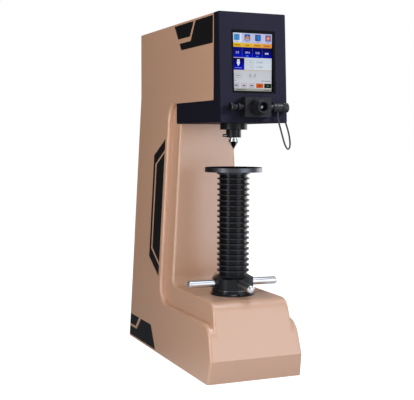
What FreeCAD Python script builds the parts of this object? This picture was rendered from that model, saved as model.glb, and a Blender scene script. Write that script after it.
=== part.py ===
import FreeCAD, Part
import os
import math

# Bench hardness tester with a touch screen, a screw-lifted anvil and a
# motor-driven indenter.  Millimetres.  +Z up, -Y is the operator's side.
# Origin: on the spindle axis, in the plane that the base stands on.

doc = FreeCAD.newDocument("hardness_tester")
V = FreeCAD.Vector

# ---------------------------------------------------------------- sizes
SIZES = [
    ("head_half", 82.5),        # half width of the head
    ("base_half", 117.5),       # half width of the base at the bench
    ("head_top", 824.0),
    ("break_z", 654.0),         # the sides start to spread below this height
    ("rear_y", 432.0),
    ("arm_z", 629.5),           # underside of the cast arm
    ("cover_y", -72.0),         # joint between casting and front cover
    ("face_top_y", -96.7),
    ("face_low_y", -111.6),
    ("head_low", 579.6),        # underside of the front cover
    ("cover_back", 157.85),
    ("column_y", 207.0),
    ("neck_y", 158.0),
    ("deck_z", 177.5),
    ("deck_y", -99.0),
    ("ledge_z", 130.0),
    ("ledge_y", -113.2),
    ("waist_y", -136.0),
    ("waist_z", 53.0),
    ("toe_y", -124.6),
    ("step_in", 14.0),          # how far the neck and deck are set in
    ("wall", 11.0),
    ("arm_floor", 16.0),
    ("wall_rear", 8.0),
    ("core_rad", 33.0),         # lifting screw
    ("ridge_rad", 38.0),
    ("pitch", 12.73),
    ("screw_top", 466.0),
    ("screw_foot", 158.0),
    ("ridge_first", 170.64),
    ("ridge_count", 23),
    ("anvil_rad", 67.5),
    ("anvil_thick", 11.0),
    ("stem_rad", 12.45),
    ("stem_len", 42.0),
    ("run_gap", 0.05),
    ("hub_rad", 48.6),
    ("hub_low", 190.3),
    ("hub_shoulder", 217.0),
    ("hub_high", 221.5),
    ("nut_rad", 43.0),
    ("nut_bore", 38.35),
    ("rod_rad", 8.8),
    ("rod_tip", 113.5),
    ("rod_z", 204.7),
    ("ring_rad", 52.5),
    ("post_side", 18.0),
    ("post_top", 215.0),
    ("plate_t", 5.0),
    ("spindle_rad", 17.9),
    ("nose_z", 546.6),
    ("flange_rad", 31.8),
    ("flange_z", 565.0),
    ("tip_z", 519.3),
    ("ball_rad", 2.5),
    ("micro_half", 31.8),
    ("micro_low", 591.7),
    ("micro_high", 635.3),
    ("micro_front", -131.0),
    ("micro_back", -112.0),
    ("micro_z", 613.5),
    ("knob_y", -121.0),
    ("screen_x", 1.0),
    ("recess_half", 53.7),
    ("recess_low", 645.3),
    ("recess_high", 784.9),
    ("glass_half", 48.8),
    ("glass_low", 650.0),
    ("glass_high", 778.3),
    ("panel_y", -95.5),
    ("skin", 3.0),
    ("plate_low", 765.0),
    ("plate_high", 781.0),
    ("motor_y", 110.0),
    ("cable_dia", 3.9),
]

sheet = doc.addObject("Spreadsheet::Sheet", "Sizes")
for row, (alias, value) in enumerate(SIZES, 1):
    sheet.set("A%d" % row, alias)
    sheet.set("B%d" % row, str(value))
    sheet.setAlias("B%d" % row, alias)
doc.recompute()


class Q:
    """A size: its number and the sheet expression that gives it."""

    def __init__(self, value, text):
        self.value = float(value)
        self.text = text

    def __add__(self, other):
        o = q(other)
        return Q(self.value + o.value, "(%s + %s)" % (self.text, o.text))

    def __radd__(self, other):
        return q(other) + self

    def __sub__(self, other):
        o = q(other)
        return Q(self.value - o.value, "(%s - %s)" % (self.text, o.text))

    def __rsub__(self, other):
        return q(other) - self

    def __mul__(self, other):
        o = q(other)
        return Q(self.value * o.value, "(%s * %s)" % (self.text, o.text))

    def __rmul__(self, other):
        return q(other) * self

    def __truediv__(self, other):
        o = q(other)
        return Q(self.value / o.value, "(%s / %s)" % (self.text, o.text))

    def __neg__(self):
        return Q(-self.value, "(0 - %s)" % self.text)


def q(item):
    if isinstance(item, Q):
        return item
    return Q(item, "%.6g" % item if item >= 0 else "(0 - %.6g)" % -item)


S = {}
for alias, value in SIZES:
    S[alias] = Q(sheet.get(alias), "Sizes.%s" % alias)


def bind(obj, prop, item):
    if isinstance(item, Q):
        obj.setExpression(prop, item.text)
    else:
        parts = prop.split(".")
        if len(parts) == 1:
            setattr(obj, prop, item)
        else:
            obj.setExpression(prop, q(item).text)


def place(obj, x=0.0, y=0.0, z=0.0, rot=None):
    """Base point from numbers or sizes, with an optional rotation."""
    vals = [q(x), q(y), q(z)]
    obj.Placement = FreeCAD.Placement(
        V(vals[0].value, vals[1].value, vals[2].value), rot or FreeCAD.Rotation())
    for axis, item in zip("xyz", (x, y, z)):
        if isinstance(item, Q):
            obj.setExpression("Placement.Base.%s" % axis, item.text)
    return obj


TO_X = FreeCAD.Rotation(V(0, 1, 0), 90)       # local +Z to +X
TO_NX = FreeCAD.Rotation(V(0, 1, 0), -90)     # local +Z to -X
TO_NY = FreeCAD.Rotation(V(1, 0, 0), 90)      # local +Z to -Y
TO_Y = FreeCAD.Rotation(V(1, 0, 0), -90)      # local +Z to +Y

NODES = {}
counter = [0]


def fresh(stem):
    counter[0] += 1
    return "%s_%d" % (stem, counter[0])


def node(label, obj):
    obj.Label = label
    NODES[label] = obj
    return obj


# ---------------------------------------------------------------- sketches
def fill_sketch(sk, loops):
    """Closed polygons whose every corner is held by two dimensions."""
    import Sketcher
    for pts in loops:
        pts = [(q(a), q(b)) for a, b in pts]
        n = len(pts)
        first = sk.GeometryCount
        for i in range(n):
            a, b = pts[i], pts[(i + 1) % n]
            sk.addGeometry(Part.LineSegment(V(a[0].value, a[1].value, 0),
                                            V(b[0].value, b[1].value, 0)), False)
        for i in range(n):
            sk.addConstraint(Sketcher.Constraint(
                "Coincident", first + i, 2, first + (i + 1) % n, 1))
        for i in range(n):
            for kind, item in (("DistanceX", pts[i][0]), ("DistanceY", pts[i][1])):
                k = sk.addConstraint(Sketcher.Constraint(
                    kind, -1, 1, first + i, 1, item.value))
                if "Sizes." in item.text:
                    sk.setExpression("Constraints[%d]" % k, item.text)


def origin_plane(body, role):
    for f in body.Origin.OriginFeatures:
        if f.Role == role:
            return f
    raise ValueError(role)


def body_sketch(body, role, loops, offset=0.0):
    sk = body.newObject("Sketcher::SketchObject", fresh("sketch"))
    sk.AttachmentSupport = [(origin_plane(body, role), "")]
    sk.MapMode = "FlatFace"
    o = q(offset)
    sk.AttachmentOffset = FreeCAD.Placement(V(0, 0, o.value), FreeCAD.Rotation())
    if isinstance(offset, Q):
        sk.setExpression("AttachmentOffset.Base.z", offset.text)
    fill_sketch(sk, loops)
    return sk


def turned(pts, extra=None):
    """Body of revolution about local Z from (radius, height) corners."""
    body = doc.addObject("PartDesign::Body", fresh("body"))
    sk = body_sketch(body, "XZ_Plane", [pts])
    rev = body.newObject("PartDesign::Revolution", fresh("turn"))
    rev.Profile = sk
    rev.ReferenceAxis = (sk, ["V_Axis"])
    rev.Angle = 360
    sk.Visibility = False
    body.Tip = rev
    return body


def slab(role, loops, low, high):
    """Pad between two offsets of an origin plane; XZ sketches run along -Y."""
    body = doc.addObject("PartDesign::Body", fresh("body"))
    low, high = q(low), q(high)
    if role == "XZ_Plane":
        sk = body_sketch(body, role, loops, -high)
    else:
        sk = body_sketch(body, role, loops, low)
    pad = body.newObject("PartDesign::Pad", fresh("pad"))
    pad.Profile = sk
    span = high - low
    pad.Length = span.value
    if "Sizes." in span.text:
        pad.setExpression("Length", span.text)
    sk.Visibility = False
    body.Tip = pad
    return body


def rect(x0, x1, y0, y1):
    return [(x0, y0), (x1, y0), (x1, y1), (x0, y1)]


# ---------------------------------------------------------------- primitives
def box(x0, x1, y0, y1, z0, z1):
    o = doc.addObject("Part::Box", fresh("box"))
    for prop, a, b in (("Length", x0, x1), ("Width", y0, y1), ("Height", z0, z1)):
        span = q(b) - q(a)
        setattr(o, prop, span.value)
        if "Sizes." in span.text:
            o.setExpression(prop, span.text)
    return place(o, x0, y0, z0)


def rod(rad, length, x=0.0, y=0.0, z=0.0, rot=None):
    o = doc.addObject("Part::Cylinder", fresh("rod"))
    bind(o, "Radius", rad)
    bind(o, "Height", length)
    return place(o, x, y, z, rot)


def cone(r1, r2, length, x=0.0, y=0.0, z=0.0, rot=None):
    o = doc.addObject("Part::Cone", fresh("cone"))
    bind(o, "Radius1", r1)
    bind(o, "Radius2", r2)
    bind(o, "Height", length)
    return place(o, x, y, z, rot)


def ball(rad, x=0.0, y=0.0, z=0.0):
    o = doc.addObject("Part::Sphere", fresh("ball"))
    bind(o, "Radius", rad)
    return place(o, x, y, z)


def fused(*items):
    o = doc.addObject("Part::MultiFuse", fresh("fuse"))
    o.Shapes = list(items)
    return o


def cut(base, *tools):
    tool = tools[0] if len(tools) == 1 else fused(*tools)
    o = doc.addObject("Part::Cut", fresh("cut"))
    o.Base = base
    o.Tool = tool
    return o


def common(a, b):
    o = doc.addObject("Part::MultiCommon", fresh("common"))
    o.Shapes = [a, b]
    return o


def group(*items):
    """Separate solids of one kind in one node."""
    o = doc.addObject("Part::Compound", fresh("group"))
    o.Links = list(items)
    return o


def prism(loops, along, low, high):
    """Extruded sketch: along X from a YZ outline, or along Y from an XZ one."""
    sk = doc.addObject("Sketcher::SketchObject", fresh("outline"))
    if along == "x":
        sk.Placement = FreeCAD.Placement(V(0, 0, 0), FreeCAD.Rotation(V(1, 1, 1), 120))
    elif along == "y":
        sk.Placement = FreeCAD.Placement(V(0, 0, 0), FreeCAD.Rotation(V(1, 0, 0), 90))
    fill_sketch(sk, loops)
    ex = doc.addObject("Part::Extrusion", fresh("prism"))
    ex.Base = sk
    ex.DirMode = "Normal"
    low, high = q(low), q(high)
    if along == "y":
        fwd, rev = -low, high          # the sketch faces -Y
    else:
        fwd, rev = high, -low
    ex.LengthFwd = fwd.value
    ex.LengthRev = rev.value
    if "Sizes." in fwd.text:
        ex.setExpression("LengthFwd", fwd.text)
    if "Sizes." in rev.text:
        ex.setExpression("LengthRev", rev.text)
    ex.Solid = True
    sk.Visibility = False
    return ex


def round_edges(base, picks):
    """Part::Fillet on the edges that each test accepts."""
    doc.recompute()
    chosen = []
    for i, e in enumerate(base.Shape.Edges, 1):
        for test, rad in picks:
            if test(e):
                chosen.append((i, rad, rad))
                break
    if not chosen:
        raise ValueError("no edge to round on " + base.Name)
    o = doc.addObject("Part::Fillet", fresh("round"))
    o.Base = base
    o.Edges = chosen
    return o


def mid(e):
    a, b = e.ParameterRange
    return e.valueAt(0.5 * (a + b))


def along_x_at(y, z):
    def test(e):
        if len(e.Vertexes) != 2:
            return False
        p, r = e.Vertexes[0].Point, e.Vertexes[1].Point
        return (abs(p.y - r.y) < 1e-3 and abs(p.z - r.z) < 1e-3
                and abs(p.x - r.x) > 1 and abs(p.y - y) < 0.05 and abs(p.z - z) < 0.05)
    return test


def upright_at(x, y):
    def test(e):
        if len(e.Vertexes) != 2:
            return False
        p, r = e.Vertexes[0].Point, e.Vertexes[1].Point
        return (abs(p.x - r.x) < 1e-3 and abs(p.y - r.y) < 1e-3
                and abs(p.z - r.z) > 1 and abs(abs(p.x) - x) < 0.05 and abs(p.y - y) < 0.05)
    return test


# ================================================================ casting
spread = (S["base_half"] - S["head_half"]) / S["break_z"]


def side_outline(inset, low=-6.0):
    """Cross-section of the body seen from the front, set in by inset."""
    hh = S["head_half"] - inset
    bh = S["base_half"] - inset - spread * low
    return [(-bh, low), (bh, low), (hh, S["break_z"]), (hh, S["head_top"] + 6),
            (-hh, S["head_top"] + 6), (-hh, S["break_z"])]


def half_width(z, inset=0.0):
    hh, bh = S["head_half"].value, S["base_half"].value
    if z >= S["break_z"].value:
        return hh - inset
    return hh + (S["break_z"].value - z) * (bh - hh) / S["break_z"].value - inset


# the block under the arm, in front of stop_y, only ends the rounding of the
# throat's edges there; it is cut away again below
stop_y = S["column_y"] - 37
outer_line = [(S["rear_y"], 0.0), (S["rear_y"], S["head_top"]), (S["cover_y"], S["head_top"]),
              (S["cover_y"], S["arm_z"] - 30), (stop_y, S["arm_z"] - 30),
              (stop_y, S["arm_z"]), (S["column_y"], S["arm_z"]),
              (S["column_y"], S["ledge_z"]), (S["ledge_y"], S["ledge_z"]),
              (S["waist_y"], S["waist_z"]), (S["toe_y"], 0.0)]
outer_raw = prism([outer_line], "x", -125.0, 125.0)
outer_round = round_edges(outer_raw, [
    (along_x_at(S["column_y"].value, S["arm_z"].value), 34.9),
    (along_x_at(S["column_y"].value, S["ledge_z"].value), 45.0),
    (along_x_at(S["ledge_y"].value, S["ledge_z"].value), 42.0),
    (along_x_at(S["waist_y"].value, S["waist_z"].value), 4.0)])
outer_trim = common(outer_round, prism([side_outline(0.0)], "y", -160.0, 460.0))


def side_edge(inset, ylim, zlim):
    """Edges that lie in the sloping side planes within the limits."""
    def test(e):
        a, b = e.ParameterRange
        for k in (0.0, 0.5, 1.0):
            p = e.valueAt(a + (b - a) * k)
            if abs(abs(p.x) - half_width(p.z, inset)) > 0.05:
                return False
        p = mid(e)
        return ylim[0] <= p.y <= ylim[1] and zlim[0] <= p.z <= zlim[1]
    return test


outer_soft = round_edges(outer_trim, [
    (side_edge(0.0, (stop_y.value, 207.1), (2, 640)), 6.5),
    (side_edge(0.0, (-140, 207.1), (2, 590)), 6.5)])
rear, top = S["rear_y"].value, S["head_top"].value


def rear_or_top(e):
    """Rear corners from bench to top, and the head's top edges."""
    if len(e.Vertexes) != 2:
        return False
    a, b = e.Vertexes[0].Point, e.Vertexes[1].Point
    on_side = all(abs(abs(p.x) - half_width(p.z)) < 0.05 for p in (a, b))
    at_rear = abs(a.y - rear) < 0.01 and abs(b.y - rear) < 0.01
    at_top = abs(a.z - top) < 0.01 and abs(b.z - top) < 0.01
    return (on_side and at_rear) or (at_top and (on_side or at_rear))


outer_full = round_edges(outer_soft, [(rear_or_top, 3.5)])
outer_open = cut(outer_full, box(-110.0, 110.0, S["cover_y"] - 5, stop_y,
                                 S["arm_z"] - 40, S["arm_z"]))

inner_line = [(300.0, 0.0), (300.0, 640.0), (S["neck_y"], 640.0),
              (S["neck_y"], S["deck_z"]), (S["deck_y"], S["deck_z"]),
              (S["waist_y"], S["waist_z"]), (S["toe_y"], 0.0)]
inner_raw = prism([inner_line], "x", -125.0, 125.0)
inner_round = round_edges(inner_raw, [
    (along_x_at(S["neck_y"].value, S["deck_z"].value), 24.0),
    (along_x_at(S["deck_y"].value, S["deck_z"].value), 28.0),
    (along_x_at(S["waist_y"].value, S["waist_z"].value), 4.0)])
inner_trim = common(inner_round,
                    prism([side_outline(S["step_in"])], "y", -160.0, 460.0))
inner_soft = round_edges(inner_trim, [
    (side_edge(S["step_in"].value, (-140, 158.1), (60, 641)), 6.5)])

shell = fused(outer_open, inner_soft)

w = S["wall"]
cav_outer = common(
    prism([[(S["rear_y"] - S["wall_rear"], -1.0),
            (S["toe_y"] + w, -1.0), (S["waist_y"] + w + 1, S["waist_z"]),
            (S["ledge_y"] + w + 18, S["ledge_z"] - w), (S["column_y"] + w, S["ledge_z"] - w),
            (S["column_y"] + w, S["arm_z"] + S["arm_floor"]),
            (S["rear_y"] - S["wall_rear"], S["arm_z"] + S["arm_floor"])]], "x", -125.0, 125.0),
    prism([side_outline(w)], "y", -160.0, 460.0))
cav_inner = common(
    prism([[(S["ledge_y"] + w, 100.0), (S["deck_y"] + w + 12, S["deck_z"] - w),
            (S["neck_y"] + w, S["deck_z"] - w), (S["neck_y"] + w, S["arm_z"] + 20),
            (300.0, S["arm_z"] + 20), (300.0, 100.0)]], "x", -125.0, 125.0),
    prism([side_outline(S["step_in"] + w)], "y", -160.0, 460.0))
cav_head = box(-(S["head_half"] - w), S["head_half"] - w, S["cover_y"] - 1,
               S["rear_y"] - S["wall_rear"], S["arm_z"] + S["arm_floor"],
               S["head_top"] - w)
rear_mouth = common(
    prism([rect(-120.0, 120.0, 40.0, 790.0)], "y", S["rear_y"] - S["wall_rear"] - 5,
          S["rear_y"] + 5),
    prism([side_outline(26.0)], "y", -160.0, 460.0))
rear_seat = common(
    prism([rect(-120.0, 120.0, 24.0, 806.0)], "y", S["rear_y"] - 2.2, S["rear_y"] + 5),
    prism([side_outline(12.0)], "y", -160.0, 460.0))
deck_hole = rod(46.0, 40.0, 0.0, 0.0, S["deck_z"] - 25)
guide_hole = rod(26.0, 40.0, 0.0, 0.0, S["arm_z"] - 5)
# seat for the base plate: a rebate round the open underside
plate_seat = common(
    prism([[(S["rear_y"] - 5, -1.0), (S["toe_y"] + 6, -1.0),
            (S["toe_y"] + 5, S["plate_t"]), (S["rear_y"] - 5, S["plate_t"])]],
          "x", -125.0, 125.0),
    prism([side_outline(6.0)], "y", -160.0, 460.0))

frame_casting = cut(shell, cav_outer, cav_inner, cav_head, rear_mouth, rear_seat,
                    deck_hole, guide_hole, plate_seat)
node("frame_casting", frame_casting)

# base plate, flush with the underside
base_plate = common(
    prism([[(S["rear_y"] - 5.3, 0.0), (S["toe_y"] + 6.3, 0.0),
            (S["toe_y"] + 5.3, S["plate_t"] - 0.1), (S["rear_y"] - 5.3, S["plate_t"] - 0.1)]],
          "x", -125.0, 125.0),
    prism([side_outline(6.3)], "y", -160.0, 460.0))
foot_holes = []
foot_screws = []
for sx in (-1, 1):
    for y in (-100.0, 80.0, 250.0, 405.0):
        foot_holes.append(cone(5.4, 2.9, 2.6, sx * 100.5, y, -0.01))
        foot_holes.append(rod(2.9, 8.0, sx * 100.5, y, -1.0))
        foot_screws.append(cut(cone(5.2, 2.8, 2.5, sx * 100.5, y, 0.0),
                               rod(1.6, 1.6, sx * 100.5, y, -0.1)))
node("base_plate", cut(base_plate, *foot_holes))
node("base_plate_screws", group(*foot_screws))

# ================================================================ rear side
slots = []
for k in range(9):
    for sx in (-1, 1):
        slots.append(box(sx * 30 - 20, sx * 30 + 20, S["rear_y"] - 4, S["rear_y"] + 2,
                         640.0 + 12 * k, 644.0 + 12 * k))
for k in range(6):
    for sx in (-1, 1):
        slots.append(box(sx * 36 - 20, sx * 36 + 20, S["rear_y"] - 4, S["rear_y"] + 2,
                         190.0 + 12 * k, 194.0 + 12 * k))
rear_blank = common(
    prism([rect(-120.0, 120.0, 24.3, 805.7)], "y", S["rear_y"] - 2.1, S["rear_y"]),
    prism([side_outline(12.3)], "y", -160.0, 460.0))
rear_holes = []
rear_screws = []
for z in (32.0, 220.0, 420.0, 610.0, 798.0):
    for sx in (-1, 1):
        x = sx * (half_width(z) - 19.0)
        rear_holes.append(rod(2.7, 8.0, x, S["rear_y"] - 5, z, TO_Y))
        head = cone(5.0, 4.0, 1.2, x, S["rear_y"] + 1.0, z, TO_Y)
        disc = rod(5.0, 1.0, x, S["rear_y"], z, TO_Y)
        shank = rod(2.5, 6.0, x, S["rear_y"] - 6, z, TO_Y)
        drive = rod(1.5, 2.0, x, S["rear_y"] + 0.9, z, TO_Y)
        rear_screws.append(cut(fused(disc, head, shank), drive))
        # threaded hole in the casting's rim is drawn at the shank's size
inlet_hole = box(-61.0, -33.0, S["rear_y"] - 8, S["rear_y"] + 3, 90.0, 111.0)
rocker_hole = box(-14.6, 14.6, S["rear_y"] - 8, S["rear_y"] + 3, 89.6, 111.4)
port_hole = box(36.0, 56.0, S["rear_y"] - 8, S["rear_y"] + 3, 94.0, 106.0)
node("rear_cover", cut(rear_blank, inlet_hole, rocker_hole, port_hole,
                       *(slots + rear_holes)))
node("rear_cover_screws", group(*rear_screws))
casting_taps = []
for z in (32.0, 220.0, 420.0, 610.0, 798.0):
    for sx in (-1, 1):
        x = sx * (half_width(z) - 19.0)
        casting_taps.append(rod(2.5, 9.0, x, S["rear_y"] - 9, z, TO_Y))
frame_casting.Label = "casting_untapped"
node("frame_casting", cut(frame_casting, *casting_taps))

inlet_body = fused(box(-61.0, -33.0, S["rear_y"] - 26, S["rear_y"], 90.0, 111.0),
                   box(-66.0, -28.0, S["rear_y"], S["rear_y"] + 2.5, 86.0, 115.0))
inlet_recess = box(-59.0, -35.0, S["rear_y"] - 15, S["rear_y"] + 4, 92.2, 108.8)
inlet = cut(inlet_body, inlet_recess)
pins = [box(-47.0 + dx - 1.0, -47.0 + dx + 1.0, S["rear_y"] - 32, S["rear_y"] - 3,
            99.0 + dz, 103.0 + dz) for dx, dz in ((-5, -1.5), (0, 0.5), (5, -1.5))]
pin_slots = [box(-47.0 + dx - 1.0, -47.0 + dx + 1.0, S["rear_y"] - 33, S["rear_y"] - 1,
                 99.0 + dz, 103.0 + dz) for dx, dz in ((-5, -1.5), (0, 0.5), (5, -1.5))]
node("power_inlet", cut(inlet, *pin_slots))
node("inlet_pins", group(*pins))

sw_frame = cut(
    fused(box(-14.4, 14.4, S["rear_y"] - 18, S["rear_y"], 89.8, 111.2),
          box(-17.0, 17.0, S["rear_y"], S["rear_y"] + 2.5, 87.0, 114.0)),
    box(-12.0, 12.0, S["rear_y"] - 12, S["rear_y"] + 4, 92.0, 109.0),
    rod(1.56, 27.2, -13.6, S["rear_y"] - 6, 100.5, TO_X))
node("switch_frame", sw_frame)
# rocker, 6 degrees to one side of its middle, about a pin at rear_y - 6
ROCK = [(-3.0, -6.2), (-3.0, 6.2), (5.5, 6.9), (8.0, 6.6), (5.9, 0.0), (8.0, -6.6), (5.5, -6.9)]
tilt = math.radians(-6.0)
rocker = slab("YZ_Plane", [[(S["rear_y"] - 6 + (u * math.cos(tilt) - v * math.sin(tilt)),
                             100.5 + u * math.sin(tilt) + v * math.cos(tilt)) for u, v in ROCK]],
              -11.6, 11.6)
node("power_switch", fused(rocker, rod(1.5, 26.8, -13.4, S["rear_y"] - 6, 100.5, TO_X)))
port = fused(
    box(36.2, 55.8, S["rear_y"] - 12, S["rear_y"], 94.2, 105.8),
    cut(box(33.0, 59.0, S["rear_y"], S["rear_y"] + 1.5, 91.5, 108.5),
        box(37.9, 54.1, S["rear_y"] - 1, S["rear_y"] + 4, 95.9, 104.1)),
    box(38.4, 53.6, S["rear_y"] - 1, S["rear_y"] + 0.8, 96.4, 103.6))
node("data_port", port)

# ================================================================ front cover
cover_line = [(S["cover_y"], S["head_top"]), (S["face_top_y"], S["head_top"]),
              (S["face_low_y"], S["head_low"]), (S["cover_back"], S["head_low"]),
              (S["cover_back"], S["arm_z"]), (S["cover_y"], S["arm_z"])]
cover_raw = prism([cover_line], "x", -S["head_half"], S["head_half"])


def cover_edge(e):
    if len(e.Vertexes) != 2:
        return False
    a, b = e.Vertexes[0].Point, e.Vertexes[1].Point
    hh = S["head_half"].value
    top, low = S["head_top"].value, S["head_low"].value
    fy, ly = S["face_top_y"].value, S["face_low_y"].value
    front = [(fy, top), (ly, low)]

    def is_at(p, yz):
        return abs(p.y - yz[0]) < 0.05 and abs(p.z - yz[1]) < 0.05
    if abs(a.x - b.x) < 1e-3:       # on a side plane
        if is_at(a, front[0]) and is_at(b, front[1]) or is_at(a, front[1]) and is_at(b, front[0]):
            return True
        if abs(a.z - top) < 0.05 and abs(b.z - top) < 0.05:
            return True
        if abs(a.z - low) < 0.05 and abs(b.z - low) < 0.05:
            return True
        return False
    return is_at(a, front[0]) and is_at(b, front[0]) or is_at(a, front[1]) and is_at(b, front[1])


cover_soft = round_edges(cover_raw, [(cover_edge, 2.5)])
sk = S["skin"]
cover_void = prism([[(S["cover_y"] + 1, S["head_top"] - sk), (S["face_top_y"] + sk, S["head_top"] - sk),
                     (S["face_low_y"] + sk, S["head_low"] + sk), (S["cover_back"] - sk, S["head_low"] + sk),
                     (S["cover_back"] - sk, S["arm_z"] + 1), (S["cover_y"] + 1, S["arm_z"] + 1)]],
                   "x", -(S["head_half"] - sk), S["head_half"] - sk)
window = box(S["screen_x"] - S["recess_half"], S["screen_x"] + S["recess_half"],
             -125.0, -80.0, S["recess_low"], S["recess_high"])
tube_hole = rod(17.2, 40.0, 0.0, -80.0, S["micro_z"], TO_NY)
spindle_hole = rod(S["flange_rad"] + 0.1, 20.0, 0.0, 0.0, S["head_low"] - 8)
socket_hole = rod(6.05, 12.0, 76.0, -66.0, 615.0, TO_X)
node("front_cover", cut(cover_soft, cover_void, window, tube_hole, spindle_hole, socket_hole))

# bezel: a black frame whose front follows the sloping cover
bezel_frame = cut(
    box(S["screen_x"] - S["recess_half"] + 0.15, S["screen_x"] + S["recess_half"] - 0.15,
        -120.0, S["panel_y"], S["recess_low"] + 0.15, S["recess_high"] - 0.15),
    box(S["screen_x"] - S["glass_half"], S["screen_x"] + S["glass_half"],
        -121.0, S["panel_y"] + 1, S["glass_low"], S["glass_high"]))
bezel_limit = prism([[(S["face_top_y"] + 0.5, S["head_top"]), (-60.0, S["head_top"]),
                      (-60.0, S["head_low"]), (S["face_low_y"] + 0.5, S["head_low"])]],
                    "x", -70.0, 70.0)
node("display_bezel", common(bezel_frame, bezel_limit))
node("display_glass", box(S["screen_x"] - S["glass_half"] + 0.1,
                          S["screen_x"] + S["glass_half"] - 0.1,
                          S["panel_y"] - 1.2, S["panel_y"],
                          S["glass_low"] + 0.1, S["glass_high"] - 0.1))
node("display_panel", box(S["screen_x"] - 53.0, S["screen_x"] + 53.0, S["panel_y"],
                          S["panel_y"] + 6.5, 645.8, 784.4))
board = fused(box(-46.0, 48.0, -84.5, -82.9, 655.0, 775.0),
              box(-30.0, -10.0, -82.9, -80.9, 700.0, 720.0),
              box(5.0, 17.0, -82.9, -81.2, 680.0, 692.0),
              box(-40.0, -20.0, -82.9, -72.5, 658.0, 668.0),
              box(10.0, 40.0, -82.9, -72.5, 760.0, 770.0),
              rod(4.0, 9.0, 30.0, -82.9, 735.0, TO_Y),
              rod(4.0, 9.0, 20.0, -82.9, 735.0, TO_Y))
node("control_board", board)

# ================================================================ load train
bore = S["spindle_rad"] + S["run_gap"]
guide = turned([(bore, S["flange_z"]), (S["flange_rad"] - 0.6, S["flange_z"]),
                (S["flange_rad"], S["flange_z"] + 0.6), (S["flange_rad"], S["arm_z"]),
                (26.0, S["arm_z"]), (26.0, S["arm_z"] + S["arm_floor"]),
                (bore, S["arm_z"] + S["arm_floor"])])
node("spindle_guide", guide)

spindle = turned([(0.0, 580.5), (6.0, 578.6), (6.0, S["nose_z"]),
                  (S["spindle_rad"] - 0.8, S["nose_z"]), (S["spindle_rad"], S["nose_z"] + 0.8),
                  (S["spindle_rad"], 652.0), (11.0, 652.0), (11.0, 664.0), (0.0, 664.0)])
spindle_bore = rod(2.6, 20.0, -22.0, 0.0, 551.4, TO_X)
node("loading_spindle", cut(spindle, spindle_bore))

holder = turned([(0.0, 578.0), (5.9, 578.0), (5.9, S["nose_z"]), (9.4, S["nose_z"]),
                 (9.4, 543.2), (12.2, 542.4), (12.2, 537.4), (11.6, 536.8),
                 (10.8, 536.8), (2.9, 523.4), (2.1, 522.2), (0.0, 522.2)])
node("indenter_holder", cut(holder, ball(S["ball_rad"], 0.0, 0.0, S["tip_z"] + S["ball_rad"])))
node("indenter_ball", ball(S["ball_rad"], 0.0, 0.0, S["tip_z"] + S["ball_rad"]))

thumb = turned([(0.0, 6.1), (2.5, 6.1), (2.5, 18.4), (3.4, 18.4), (3.4, 25.6),
                (2.6, 27.2), (1.2, 27.8), (0.0, 27.8)])
place(thumb, 0.0, 0.0, 551.4, TO_NX)
node("clamp_screw", thumb)

cell = turned([(0.0, 664.0), (13.0, 664.0), (13.0, 668.0), (23.0, 670.0), (23.0, 694.0),
               (15.0, 696.0), (15.0, 700.0), (0.0, 700.0)])
node("load_cell", fused(cell, box(18.0, 31.0, -7.0, 7.0, 676.0, 688.0)))

cross_blank = box(-54.0, 54.0, -22.0, 22.0, 700.0, 722.0)
cross = cut(cross_blank, rod(14.0, 20.0, 0.0, 0.0, 704.0),
            rod(8.05, 40.0, -40.0, 0.0, 690.0), rod(8.05, 40.0, 40.0, 0.0, 690.0))
node("crosshead", cross)
nut = turned([(8.35, 708.0), (14.0, 708.0), (14.0, 722.0), (21.0, 722.0), (21.0, 729.0),
              (8.35, 729.0)])
node("ball_nut", nut)

screw_pts = [(0.0, 705.0), (7.0, 705.0), (8.0, 706.0)]
z = 734.0
while z < 758.0:
    screw_pts += [(8.0, z), (7.2, z + 0.8), (7.2, z + 1.7), (8.0, z + 2.5)]
    z += 5.0
screw_pts += [(8.0, 762.0), (10.0, 762.0), (10.0, 764.8), (7.5, 764.8), (7.5, 783.0),
              (6.0, 783.0), (6.0, 803.0), (0.0, 803.0)]
node("ball_screw", turned(screw_pts))

rods = [rod(8.0, S["plate_low"] - S["arm_z"] - S["arm_floor"], sx * 40.0, 0.0,
            S["arm_z"] + S["arm_floor"]) for sx in (-1, 1)]
posts = [rod(7.0, S["plate_low"] - S["arm_z"] - S["arm_floor"], sx * 45.0, 148.0,
             S["arm_z"] + S["arm_floor"]) for sx in (-1, 1)]
node("guide_rods", group(*(rods + posts)))
yoke = cut(box(-58.0, 58.0, -34.0, 158.0, S["plate_low"], S["plate_high"]),
           rod(20.0, 40.0, 0.0, 0.0, S["plate_low"] - 10),
           rod(19.05, 40.0, 0.0, S["motor_y"], S["plate_low"] - 10))
node("bearing_plate", yoke)
bearing = turned([(7.55, S["plate_low"]), (20.0, S["plate_low"]), (20.0, S["plate_high"]),
                  (7.55, S["plate_high"])])
node("screw_bearing", bearing)

motor = fused(
    cut(box(-28.5, 28.5, S["motor_y"] - 28.5, S["motor_y"] + 28.5, 690.0, S["plate_low"]),
        *[rod(4.5, 62.0, sx * 28.5, S["motor_y"] + sy * 28.5, 696.0)
          for sx in (-1, 1) for sy in (-1, 1)]),
    rod(19.0, 2.0, 0.0, S["motor_y"], S["plate_low"]))
motor = cut(motor, rod(4.05, 12.0, 0.0, S["motor_y"], S["plate_low"] - 8))
node("drive_motor", motor)
shaft = rod(4.0, 809.0 - 758.5, 0.0, S["motor_y"], 758.5)
node("motor_shaft", shaft)


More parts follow.
